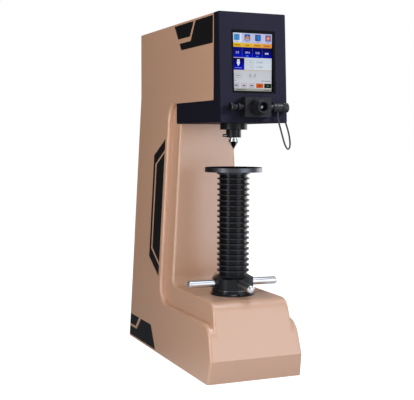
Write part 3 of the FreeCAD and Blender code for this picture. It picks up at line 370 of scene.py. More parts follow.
retainer_black = Mat("retainer_black", lin(6, 6, 7), 0.6, spec=0.03)
retainer_black.vary(200.0, 0.10)
retainer_black.bump((lathe_lines(retainer_black, "Y", 0.0005), 0.05, 0.00002))

pane = Mat("screen_glass", lin(8, 8, 10), 0.12, spec=0.05, alpha=0.05)
pane.vary(30.0, 0.05)

clear_plate = Mat("line_plate_glass", lin(210, 225, 225), 0.05, spec=0.6, alpha=0.35)
clear_plate.rough_vary(60.0, 0.02)

CAD_MATS = {
    "frame_casting": tan_paint, "rear_cover": rear_paint, "base_plate": dark_paint,
    "base_plate_screws": zinc, "rear_cover_screws": zinc,
    "power_inlet": matt_plastic, "inlet_pins": zinc, "switch_frame": matt_plastic,
    "power_switch": gloss_black, "data_port": matt_plastic,
    "front_cover": navy_paint, "display_bezel": gloss_black, "display_glass": pane,
    "display_panel": gloss_black, "control_board": solder_mask,
    "spindle_guide": black_oxide, "loading_spindle": black_oxide, "indenter_holder": chrome,
    "indenter_ball": ground_steel, "clamp_screw": dark_steel, "load_cell": machined,
    "crosshead": ground_steel, "ball_nut": ground_steel, "ball_screw": ground_steel,
    "guide_rods": chrome, "bearing_plate": dark_paint, "screw_bearing": ground_steel,
    "drive_motor": dark_paint, "motor_shaft": ground_steel, "screw_pulley": machined,
    "motor_pulley": machined, "drive_belt": rubber, "power_supply": machined,
    "guide_bush": bronze, "base_ring": hub_black, "thrust_race_lower": ground_steel,
    "thrust_race_upper": ground_steel, "thrust_balls": chrome, "capstan_hub": hub_black,
    "lift_nut": bronze, "handle_rods": chrome, "elevating_screw": thread_black,
    "guide_post": ground_steel, "anvil": anvil_black,
    "micrometer_body": anodised, "microscope_tube": anodised,
    "left_line_plate": clear_plate, "right_line_plate": clear_plate,
    "eyepiece_barrel": shaded_anodised_barrel, "eyepiece_ring": anodised, "eyepiece_lens": lens_glass,
    "left_collar": anodised, "left_knob": anodised,
    "encoder_housing": anodised, "right_knob": anodised,
    "cable_bush": rubber, "cable_socket": matt_plastic, "cable_plug": matt_plastic,
    "encoder_cable": cable_jacket, "side_trim": film,
}
for name, obj in NODES.items():
    mat = CAD_MATS[name].m
    obj.data.materials.clear()
    obj.data.materials.append(mat)


# ------------------------------------------------------------------ mesh helpers
def shade(obj, angle=32.0):
    me = obj.data
    for p in me.polygons:
        p.use_smooth = True
    bm = bmesh.new()
    bm.from_mesh(me)
    lim = math.radians(angle)
    for e in bm.edges:
        e.smooth = not (len(e.link_faces) != 2 or e.calc_face_angle(0.0) > lim)
    bm.to_mesh(me)
    bm.free()
    return obj


def make(name, verts, faces, mat, body, angle=32.0):
    me = bpy.data.meshes.new(name)
    me.from_pydata([tuple(v) for v in verts], [], faces)
    me.validate()
    bm = bmesh.new()
    bm.from_mesh(me)
    bmesh.ops.recalc_face_normals(bm, faces=bm.faces)
    bm.to_mesh(me)
    bm.free()
    me.materials.append(mat.m)
    o = bpy.data.objects.new(name, me)
    bpy.context.scene.collection.objects.link(o)
    shade(o, angle)
    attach(o, body)
    return o


def axes_for(direction):
    d = Vector(direction).normalized()
    ref = Vector((0, 0, 1)) if abs(d.z) < 0.9 else Vector((1, 0, 0))
    a = ref.cross(d).normalized()
    return a, d.cross(a), d


def lathe_data(profile, origin, direction, seg=96, knurl=None):
    """Verts and faces of a turned shape from (radius, height) corners in mm.

    knurl: list of (low height, high height, teeth, depth mm), straight ribs."""
    a, b, d = axes_for(direction)
    o = Vector(origin) * MM
    verts, faces, rings = [], [], []
    for r, h in profile:
        if r < 1e-6:
            verts.append(o + d * h * MM)
            rings.append([len(verts) - 1])
            continue
        ring = []
        for i in range(seg):
            t = 2 * math.pi * i / seg
            rr = r
            for lo, hi, teeth, depth in knurl or ():
                if lo - 1e-6 <= h <= hi + 1e-6:
                    rr = r - depth * (0.5 - 0.5 * math.cos(teeth * t)) ** 0.6
            verts.append(o + d * h * MM + (a * math.cos(t) + b * math.sin(t)) * rr * MM)
            ring.append(len(verts) - 1)
        rings.append(ring)
    n = len(rings)
    closed = len(rings[0]) > 1 and len(rings[-1]) > 1
    for k in range(n if closed else n - 1):
        p, q = rings[k], rings[(k + 1) % n]
        if len(p) == 1 and len(q) == 1:
            continue
        for i in range(seg):
            j = (i + 1) % seg
            if len(p) == 1:
                faces.append((p[0], q[i], q[j]))
            elif len(q) == 1:
                faces.append((p[i], q[0], p[j]))
            else:
                faces.append((p[i], q[i], q[j], p[j]))
    return verts, faces


def lathe(name, profile, origin, direction, mat, body, seg=96, knurl=None, angle=30.0):
    v, f = lathe_data(profile, origin, direction, seg, knurl)
    return make(name, v, f, mat, body, angle)


def arc(cx, cy, r, a0, a1, n=6):
    return [(cx + r * math.cos(math.radians(a0 + (a1 - a0) * i / n)),
             cy + r * math.sin(math.radians(a0 + (a1 - a0) * i / n))) for i in range(n + 1)]


def round_rect(u0, u1, v0, v1, r, n=5):
    r = min(r, (u1 - u0) / 2 - 1e-6, (v1 - v0) / 2 - 1e-6)
    if r <= 0.01:
        return [(u0, v0), (u1, v0), (u1, v1), (u0, v1)]
    return (arc(u1 - r, v0 + r, r, -90, 0, n) + arc(u1 - r, v1 - r, r, 0, 90, n)
            + arc(u0 + r, v1 - r, r, 90, 180, n) + arc(u0 + r, v0 + r, r, 180, 270, n))


# ------------------------------------------------------------------ encoder lead
ROUTE = [(52.5, -121.0, 604.9), (52.5, -121.0, 594.5), (55.4, -120.2, 583.5), (59.9, -118.3, 572.5),
         (64.8, -116.0, 561.0), (69.9, -113.2, 549.0), (75.8, -109.8, 536.0), (83.4, -104.8, 525.0),
         (92.0, -98.4, 519.5), (99.8, -91.6, 523.0), (104.4, -85.4, 532.8), (105.4, -80.4, 546.0),
         (104.3, -76.2, 560.0), (102.0, -72.0, 573.5), (99.0, -68.3, 585.5), (96.7, -66.2, 596.0),
         (96.5, -66.0, 606.6)]
ROUTE = [tuple(v * MM for v in p) for p in ROUTE]


def lead():
    data = bpy.data.curves.new("encoder_lead", "CURVE")
    data.dimensions = "3D"
    sp = data.splines.new("NURBS")
    sp.points.add(len(ROUTE) - 1)
    for p, co in zip(sp.points, ROUTE):
        p.co = (*co, 1.0)
    sp.order_u = 3
    sp.use_endpoint_u = True
    sp.resolution_u = 8
    data.bevel_depth = 1.95 * MM
    data.bevel_resolution = 6
    data.use_fill_caps = True
    data.materials.append(cable_jacket.m)
    o = bpy.data.objects.new("encoder_lead", data)
    bpy.context.scene.collection.objects.link(o)
    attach(o, "root")
    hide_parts("encoder_cable")


lead()


# ------------------------------------------------------------------ screen
SX0, SX1 = -47.6, 49.6          # lit width, mm
SZ0, SZ1 = 650.2, 778.1         # lit height, mm
SW, SH = SX1 - SX0, SZ1 - SZ0
LAYER = [0]


def flat(name, pts, depth, thick, mat, body="root"):
    """A thin sheet on the display: pts in screen mm from its lower left corner."""
    y0 = (-95.5 - depth) * MM
    y1 = (-95.5 - depth - thick) * MM
    n = len(pts)
    verts = [((SX0 + u) * MM, y0, (SZ0 + v) * MM) for u, v in pts]
    verts += [((SX0 + u) * MM, y1, (SZ0 + v) * MM) for u, v in pts]
    faces = [tuple(range(n)), tuple(range(n, 2 * n))]
    faces += [(i, (i + 1) % n, n + (i + 1) % n, n + i) for i in range(n)]
    return make(name, verts, faces, mat, body)


def many_flat(name, loops, depth, thick, mat, body="root"):
    verts, faces = [], []
    for pts in loops:
        y0 = (-95.5 - depth) * MM
        y1 = (-95.5 - depth - thick) * MM
        n, base = len(pts), len(verts)
        verts += [((SX0 + u) * MM, y0, (SZ0 + v) * MM) for u, v in pts]
        verts += [((SX0 + u) * MM, y1, (SZ0 + v) * MM) for u, v in pts]
        faces += [tuple(base + i for i in range(n)), tuple(base + n + i for i in range(n))]
        faces += [(base + i, base + (i + 1) % n, base + n + (i + 1) % n, base + n + i) for i in range(n)]
    return make(name, verts, faces, mat, body)


def lit(name, rgb, power=0.55, rgb2=None, low=0.0, high=1.0):
    """Backlit display colour, with an optional upward blend to a second colour."""
    c = lin(*rgb)
    m = Mat(name, tuple(x * 0.12 for x in c[:3]) + (1.0,), 0.60, spec=0.0, emit=c, emit_power=power * 1.22)
    if rgb2 is not None:
        sep = m.add("ShaderNodeSeparateXYZ")
        m.link(m.coords(), sep.inputs["Vector"])
        f = m.span(sep.outputs["Z"], low, high)
        col = m.mix(f, c, lin(*rgb2))
    else:
        f = m.span(m.noise(35.0, 1.0), 0.35, 0.65)
        col = m.mix(f, tuple(x * 0.97 for x in c[:3]) + (1.0,), c)
    m.link(col, m.b.inputs["Emission Color"])
    return m


def digits(name, text, size, u, v, depth, mat, bold=0.05, align="CENTER", space=1.0):
    data = bpy.data.curves.new(name, "FONT")
    data.space_character = space
    data.body = text
    data.size = size * MM
    data.align_x = align
    data.align_y = "CENTER"
    data.extrude = 0.02 * MM
    data.offset = bold * MM
    data.resolution_u = 4
    o = bpy.data.objects.new(name + "_text", data)
    bpy.context.scene.collection.objects.link(o)
    o.matrix_world = (Matrix.Translation(((SX0 + u) * MM, (-95.5 - depth) * MM, (SZ0 + v) * MM))
                      @ Matrix.Rotation(math.radians(90), 4, "X"))
    bpy.context.view_layer.update()
    me = bpy.data.meshes.new_from_object(o.evaluated_get(bpy.context.evaluated_depsgraph_get()))
    me.transform(o.matrix_world)
    me.name = name
    me.materials.clear()
    me.materials.append(mat.m)
    p = bpy.data.objects.new(name, me)
    bpy.context.scene.collection.objects.link(p)
    bpy.data.objects.remove(o)
    bpy.data.curves.remove(data)
    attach(p, "root")
    return p


def screen():
    def U(f):
        return f * SW

    def W(f):
        return (1 - f) * SH

    def zz(f):
        return (SZ0 + W(f)) * MM

    pale = lit("lcd_pale", (224, 224, 230), 0.62, (206, 208, 216), zz(1.0), zz(0.62))
    flat("lcd_backlight", round_rect(0, SW, 0, SH, 0.3), 0.0, 0.10, pale)
    strip = lit("lcd_strip", (204, 210, 240), 0.62)
    flat("lcd_top_strip", [(U(0.225), W(0.165)), (SW, W(0.160)), (SW, SH), (U(0.225), SH)], 0.10, 0.06, strip)
    tab = lit("lcd_tab", (232, 236, 250), 0.66)
    flat("lcd_tab_sheet", [(0, W(0.165)), (U(0.225), W(0.165)), (U(0.225), SH), (0, SH)], 0.10, 0.06, tab)
    # four menu icons on rounded tiles
    blue = lit("lcd_blue", (44, 104, 200), 0.6)
    sky = lit("lcd_sky", (104, 186, 236), 0.6)
    deep = lit("lcd_deep_blue", (28, 60, 150), 0.55)
    orange = lit("lcd_orange", (240, 150, 48), 0.6)
    red = lit("lcd_red", (206, 74, 52), 0.6)
    white = lit("lcd_white", (246, 248, 252), 0.66)
    cy = W(0.074)
    half = 6.6
    cells = []
    cx = U(0.105)
    for i in range(2):
        for j in range(3):
            w, h = half * 0.92, half * 0.58
            u0 = cx - half + i * half * 1.04
            v0 = cy - half + j * half * 0.70
            cells.append(round_rect(u0 + 0.15, u0 + w - 0.15, v0 + 0.15, v0 + h - 0.15, 0.4))
    flat("icon_tile_1", round_rect(cx - 6.9, cx + 6.9, cy - 6.9, cy + 6.9, 0.8), 0.16, 0.06, blue)
    many_flat("icon_grid_cells", cells, 0.22, 0.05, lit("lcd_grid_blue", (84, 168, 232), 0.6))
    half = 7.0
    for k, f in enumerate((0.373, 0.643, 0.905)):
        cx = U(f)
        m = (blue, deep, blue)[k]
        flat("icon_tile_%d" % (k + 2), round_rect(cx - half, cx + half, cy - half, cy + half, 1.4), 0.16, 0.06, m)
    cx = U(0.373)
    many_flat("icon_chart_bars", [round_rect(cx - 4.9 + 3.4 * i, cx - 1.9 + 3.4 * i, cy - 4.2, cy - 4.2 + hgt, 0.5)
                                  for i, hgt in enumerate((5.4, 8.4, 6.4))], 0.22, 0.05, orange)
    flat("icon_chart_base", round_rect(cx - 5.2, cx + 5.2, cy - 5.6, cy - 4.7, 0.3), 0.22, 0.05, white)
    cx = U(0.643)
    flat("icon_list_page", round_rect(cx - 0.4, cx + 6.2, cy - 6.2, cy + 6.2, 0.8), 0.21, 0.03, blue)
    many_flat("icon_list_lines", [round_rect(cx - 4.8, cx + 4.6 - 2.0 * (i % 2), cy + 3.6 - 2.7 * i, cy + 4.3 - 2.7 * i, 0.2)
                                  for i in range(4)], 0.25, 0.04, sky)
    cx = U(0.905)

    def ringpts(r):
        return [(cx + r * math.cos(2 * math.pi * i / 36), cy + r * math.sin(2 * math.pi * i / 36)) for i in range(36)]
    glow = lit("lcd_target_orange", (236, 132, 88), 0.6)
    flat("icon_target_outer", ringpts(5.9), 0.22, 0.04, glow)
    flat("icon_target_gap", ringpts(4.5), 0.26, 0.03, lit("lcd_target_mauve", (150, 96, 140), 0.55))
    flat("icon_target_middle", ringpts(3.3), 0.29, 0.03, glow)
    flat("icon_target_inner", ringpts(1.5), 0.32, 0.03, white)
    many_flat("icon_captions", [round_rect(U(f) - 4.2, U(f) + 4.2, W(0.153), W(0.144), 0.3)
                                for f in (0.105, 0.373, 0.643, 0.905)], 0.16, 0.04, lit("lcd_caption", (120, 140, 190), 0.55))
    # amber heading band in four cells
    xs = (0.0, 0.245, 0.505, 0.755, 1.0)
    ambers = [(236, 190, 30), (240, 186, 44), (240, 170, 52), (240, 152, 62)]
    for i in range(4):
        flat("amber_cell_%d" % (i + 1), [(U(xs[i]) + 0.35, W(0.243)), (U(xs[i + 1]) - 0.35, W(0.243)),
                                         (U(xs[i + 1]) - 0.35, W(0.171)), (U(xs[i]) + 0.35, W(0.171))],
             0.10, 0.08, lit("lcd_amber_%d" % (i + 1), ambers[i], 0.6, tuple(min(255, c + 12) for c in ambers[i]), zz(0.243), zz(0.171)))
    many_flat("amber_marks", [round_rect(U(0.5 * (xs[i] + xs[i + 1])) - w, U(0.5 * (xs[i] + xs[i + 1])) + w, W(0.216), W(0.201), 0.3)
                              for i, w in enumerate((7.0, 5.2, 7.0, 6.6))], 0.18, 0.04, lit("lcd_amber_ink", (170, 118, 20), 0.5))
    # blue value band
    tops = [(12, 22, 108), (10, 14, 66), (10, 12, 44), (16, 18, 34)]
    lows = [(8, 22, 214), (6, 20, 214), (6, 18, 206), (8, 18, 178)]
    for i in range(4):
        flat("value_cell_%d" % (i + 1), [(U(xs[i]), W(0.420)), (U(xs[i + 1]), W(0.420)), (U(xs[i + 1]), W(0.243)), (U(xs[i]), W(0.243))],
             0.10, 0.06, lit("lcd_value_%d" % (i + 1), (lows[i]), 0.5, tops[i], zz(0.418), zz(0.29)))
    many_flat("value_dividers", [round_rect(U(x) - 0.22, U(x) + 0.22, W(0.415), W(0.247), 0.1) for x in xs[1:4]],
              0.16, 0.03, lit("lcd_divider", (96, 120, 210), 0.5))
    pearl = lit("lcd_pearl", (214, 222, 244), 0.6)
    for i, (t, sz) in enumerate((("2.5", 6.6), ("187.5", 5.6), ("15.0", 6.0), ("", 0))):
        if not t:
            many_flat("value_4_mark", [round_rect(U(0.872) - 4.4, U(0.872) - 0.4, W(0.340) - 1.7, W(0.340) + 1.7, 0.4),
                                       round_rect(U(0.872) + 0.3, U(0.872) + 4.2, W(0.340) - 1.7, W(0.340) + 1.7, 0.4)], 0.16, 0.05, pearl)
            continue
        digits("value_%d" % (i + 1), t, sz, U(0.5 * (xs[i] + xs[i + 1])), W(0.336), 0.18, pearl, 0.10)
    many_flat("value_captions", [round_rect(U(0.375) - 3.2, U(0.375) + 3.2, W(0.398), W(0.388), 0.3),
                                 round_rect(U(0.630) - 2.4, U(0.630) + 2.4, W(0.398), W(0.390), 0.3)],
              0.18, 0.04, lit("lcd_cyan", (96, 200, 240), 0.55))
    # indenter tile
    flat("indenter_tile_edge", round_rect(0.5, U(0.306), W(0.640), W(0.426), 0.3), 0.10, 0.04, lit("lcd_tile_gold", (226, 176, 96), 0.55))
    flat("indenter_tile", round_rect(1.1, U(0.300), W(0.635), W(0.431), 0.2), 0.14, 0.05,
         lit("lcd_tile_blue", (8, 22, 206), 0.5, (10, 10, 28), zz(0.60), zz(0.465)))
    cx, top, bot = U(0.150), W(0.456), W(0.563)
    flat("indenter_mark", [(cx - 2.9, top), (cx + 2.9, top), (cx + 2.9, top - 3.4), (cx + 3.5, top - 3.6),
                           (cx + 3.5, bot + 5.2), (cx + 0.9, bot), (cx - 0.9, bot), (cx - 3.5, bot + 5.2),
                           (cx - 3.5, top - 3.6), (cx - 2.9, top - 3.4)][::-1], 0.19, 0.05, white)
    flat("indenter_mark_band", round_rect(cx - 3.2, cx + 3.2, top - 4.4, top - 3.6, 0.1), 0.24, 0.02, deep)
    flat("indenter_caption", round_rect(cx - 9.0, cx + 9.0, W(0.606), W(0.594), 0.3), 0.19, 0.03, lit("lcd_pale_blue", (120, 150, 236), 0.5))
    # readings panel
    flat("readings_panel", [(U(0.309), W(0.636)), (SW, W(0.628)), (SW, W(0.422)), (U(0.309), W(0.430))],
         0.10, 0.05, lit("lcd_reading_pale", (226, 234, 242), 0.62, (214, 224, 236), zz(0.63), zz(0.43)))
    tag = lit("lcd_tag_line", (164, 172, 188), 0.52)
    ink = lit("lcd_ink", (118, 150, 160), 0.46)

    def tag_loop(u0, u1, v0, v1):
        c = 0.5 * (v0 + v1)
        t = 0.5
        hh = 0.5 * (v1 - v0)
        outer = [(u0, v0), (u1 - hh, v0), (u1, c), (u1 - hh, v1), (u0, v1)]
        loops = []
        for i in range(5):
            a, b = Vector(outer[i]), Vector(outer[(i + 1) % 5])
            d = (b - a).normalized() * t / 2
            n = Vector((-d.y, d.x))
            loops.append([tuple(a - d + n), tuple(a - d - n), tuple(b + d - n), tuple(b + d + n)])
        return loops
    many_flat("reading_tags", tag_loop(U(0.355), U(0.560), W(0.530), W(0.466)) + tag_loop(U(0.355), U(0.560), W(0.614), W(0.550)),
              0.15, 0.03, tag)
    digits("reading_1", "0.000", 5.6, U(0.69), W(0.497), 0.18, ink, 0.04, space=1.25)
    digits("reading_2", "0.000", 5.6, U(0.69), W(0.580), 0.18, ink, 0.04, space=1.25)
    many_flat("reading_tag_marks", [round_rect(U(0.435), U(0.495), W(0.503), W(0.494), 0.2),
                                    round_rect(U(0.435), U(0.495), W(0.586), W(0.577), 0.2)], 0.15, 0.03, ink)
    flat("orange_rule", [(U(0.28), W(0.646)), (SW, W(0.638)), (SW, W(0.630)), (U(0.28), W(0.638))], 0.15, 0.03,
         lit("lcd_rule", (226, 178, 132), 0.55))
    # result area
    grey_ink = lit("lcd_grey_ink", (138, 142, 158), 0.46)
    many_flat("result_tag", tag_loop(U(0.050), U(0.250), W(0.772), W(0.702)), 0.15, 0.03, tag)
    flat("result_tag_mark", round_rect(U(0.085), U(0.190), W(0.740), W(0.730), 0.3), 0.15, 0.03, grey_ink)
    digits("result_value", "0.0", 10.6, U(0.510), W(0.735), 0.16, grey_ink, 0.02, space=1.35)
    many_flat("result_notes", [round_rect(U(0.05), U(0.095), W(0.824), W(0.812), 0.2),
                               round_rect(U(0.74), U(0.80), W(0.824), W(0.812), 0.2),
                               round_rect(U(0.82), U(0.97), W(0.824), W(0.812), 0.2)], 0.15, 0.03, grey_ink)
    # buttons
    spans = ((0.020, 0.176), (0.222, 0.372), (0.418, 0.566), (0.606, 0.790), (0.812, 0.996))
    mats = [lit("lcd_button_%d" % (i + 1), c, 0.58, d, zz(0.94), zz(0.865)) for i, (c, d) in enumerate((
        ((206, 200, 216), (222, 214, 226)), ((208, 202, 216), (224, 216, 226)), ((208, 200, 214), (226, 218, 226)),
        ((224, 84, 14), (240, 104, 26)), ((8, 20, 12), (16, 36, 20))))]
    edges = lit("lcd_button_edge", (168, 160, 176), 0.5)
    for i, (a, b) in enumerate(spans):
        flat("button_edge_%d" % (i + 1), round_rect(U(a), U(b), W(0.942), W(0.862), 0.8), 0.10, 0.04, edges)
        flat("button_%d" % (i + 1), round_rect(U(a) + 0.35, U(b) - 0.35, W(0.942) + 0.35, W(0.862) - 0.35, 0.6), 0.14, 0.06, mats[i])
    many_flat("button_marks", [round_rect(U(0.5 * (a + b)) - w, U(0.5 * (a + b)) + w, W(0.911), W(0.894), 0.3)
                               for (a, b), w in zip(spans[:3], (3.4, 3.0, 3.6))], 0.20, 0.03, lit("lcd_button_ink", (92, 78, 110), 0.45))
    flat("button_4_mark", round_rect(U(0.699) - 3.4, U(0.699) + 3.4, W(0.911), W(0.894), 0.3), 0.20, 0.03, lit("lcd_amber_glow", (150, 66, 24), 0.5))
    flat("button_5_mark", round_rect(U(0.902) - 3.2, U(0.902) + 3.2, W(0.908), W(0.897), 0.3), 0.20, 0.03, lit("lcd_green_glow", (120, 160, 120), 0.5))
    flat("status_bar", [(0, 0), (SW, 0), (SW, W(0.953)), (0, W(0.953))], 0.10, 0.05, lit("lcd_status", (186, 186, 176), 0.52))
    cx2, cy2 = U(0.036), W(0.976)
    flat("status_dot", [(cx2 + 1.3 * math.cos(2 * math.pi * i / 20), cy2 + 1.3 * math.sin(2 * math.pi * i / 20)) for i in range(20)],
         0.15, 0.05, lit("lcd_status_red", (224, 40, 52), 0.66))
    many_flat("status_marks", [round_rect(U(0.10), U(0.34), W(0.984), W(0.972), 0.2), round_rect(U(0.80), U(0.97), W(0.984), W(0.972), 0.2)],
              0.15, 0.03, lit("lcd_status_ink", (120, 120, 122), 0.45))
    # the touch glass lies over the lit sheets
    g = make("touch_glass", [((SX0 - 0.1) * MM, -96.2 * MM, (SZ0 - 0.1) * MM), ((SX1 + 0.1) * MM, -96.2 * MM, (SZ0 - 0.1) * MM),
                             ((SX1 + 0.1) * MM, -96.2 * MM, (SZ1 + 0.1) * MM), ((SX0 - 0.1) * MM, -96.2 * MM, (SZ1 + 0.1) * MM),
                             ((SX0 - 0.1) * MM, -96.7 * MM, (SZ0 - 0.1) * MM), ((SX1 + 0.1) * MM, -96.7 * MM, (SZ0 - 0.1) * MM),
                             ((SX1 + 0.1) * MM, -96.7 * MM, (SZ1 + 0.1) * MM), ((SX0 - 0.1) * MM, -96.7 * MM, (SZ1 + 0.1) * MM)],
             [(0, 1, 2, 3), (4, 5, 6, 7), (0, 1, 5, 4), (1, 2, 6, 5), (2, 3, 7, 6), (3, 0, 4, 7)], pane, "root")
    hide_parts("display_glass")


screen()


# ------------------------------------------------------------------ turned details
def handle_rods():
    verts, faces = [], []
    for ang in (-2.5, 87.5, 177.5, 267.5):
        d = (math.cos(math.radians(ang)), math.sin(math.radians(ang)), 0.0)
        prof = [(0.0, 43.6), (8.8, 43.6), (8.8, 107.4), (8.74, 108.1)]
        prof += [(8.74 * math.cos(math.radians(t)), 108.1 + 5.3 * math.sin(math.radians(t))) for t in range(10, 90, 10)]
        prof += [(0.0, 113.4)]
        v, f = lathe_data(prof, (0, 0, 204.7), d, 48)
        n = len(verts)
        verts += v
        faces += [tuple(n + i for i in q) for q in f]
    o = make("capstan_rods", verts, faces, rod_chrome, "hub", 40.0)
    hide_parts("handle_rods")


handle_rods()

MICRO = (0.0, -121.0, 613.5)


def grooves(r, h0, h1, step, depth, width):
    """Points of a drum's wall with turned grooves between two heights."""
    out = []
    h = h0
    while h + step < h1 + 1e-6:
        out += [(r, h), (r, h + step - width), (r - depth, h + step - width * 0.75), (r - depth, h + step - width * 0.25)]
        h += step
    return out + [(r, h), (r, h1)]


def measuring_parts():
    drum = [(4.05, 31.8), (7.6, 31.8), (7.6, 39.6), (10.4, 39.6), (10.78, 40.0)]
    drum += grooves(10.78, 40.6, 61.0, 6.8, 0.20, 0.7) + [(10.78, 61.6), (10.4, 62.0), (4.05, 62.0)]
    o = lathe("encoder_drum", drum, MICRO, (1, 0, 0), anodised_drum, "root", 96)
    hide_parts("encoder_housing")
    knob = [(0, 26), (4, 26), (4, 62.6), (10.3, 62.6), (10.68, 63.0), (10.68, 63.4)]
    knob += [(10.68, 63.8 + 1.2 * i) for i in range(11)]
    knob += [(10.68, 76.4), (10.0, 77.1), (0, 77.1)]
    o = lathe("right_knob_knurled", knob, MICRO, (1, 0, 0), anodised_drum, "right_knob", 240, [(63.7, 75.9, 48, 0.36)], 50.0)
    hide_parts("right_knob")
    knob = [(0, 26), (3.5, 26), (3.5, 46.4), (5.6, 46.9), (6.0, 50), (6.9, 55), (8.6, 60), (9.18, 60.8), (9.18, 61.2),
            (9.18, 61.6), (9.18, 62.4), (9.18, 63.2), (9.18, 63.6), (8.7, 64.3), (0, 64.3)]
    o = lathe("left_knob_knurled", knob, MICRO, (-1, 0, 0), anodised_drum, "left_knob", 240, [(61.1, 63.3, 40, 0.40)], 50.0)
    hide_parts("left_knob")
    coll = [(3.55, 31.8), (6.6, 31.8), (7.25, 35.6), (6.9, 35.8), (6.97, 36.2), (7.36, 36.4), (8.0, 40.0), (7.65, 40.2), (7.72, 40.6),
            (8.12, 40.8), (8.78, 44.8), (8.4, 45.8), (3.55, 45.8)]
    o = lathe("left_collar_grooved", coll, MICRO, (-1, 0, 0), anodised_drum, "root", 96)
    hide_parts("left_collar")
    # small convex eye lens in a black retaining ring
    dome = [(4.9, 147.0), (4.9, 148.3)] + [(4.9 * math.cos(math.radians(t)), 148.3 + 1.3 * math.sin(math.radians(t))) for t in range(15, 90, 15)] + [(0, 149.6)]
    dome = [(0, 147.0)] + dome
    o = lathe("eye_lens_dome", dome, (0, 0, 613.5), (0, -1, 0), lens_glass, "eyepiece", 64)
    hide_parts("eyepiece_lens")
    ret = [(5.0, 146.0), (5.0, 148.8), (5.5, 149.4), (6.6, 149.8), (9.2, 150.0), (9.6, 149.6), (9.6, 148.6), (10.1, 148.4), (10.1, 146.0)]
    lathe("eye_lens_retainer", ret, (0, 0, 613.5), (0, -1, 0), retainer_black, "eyepiece", 64)


measuring_parts()


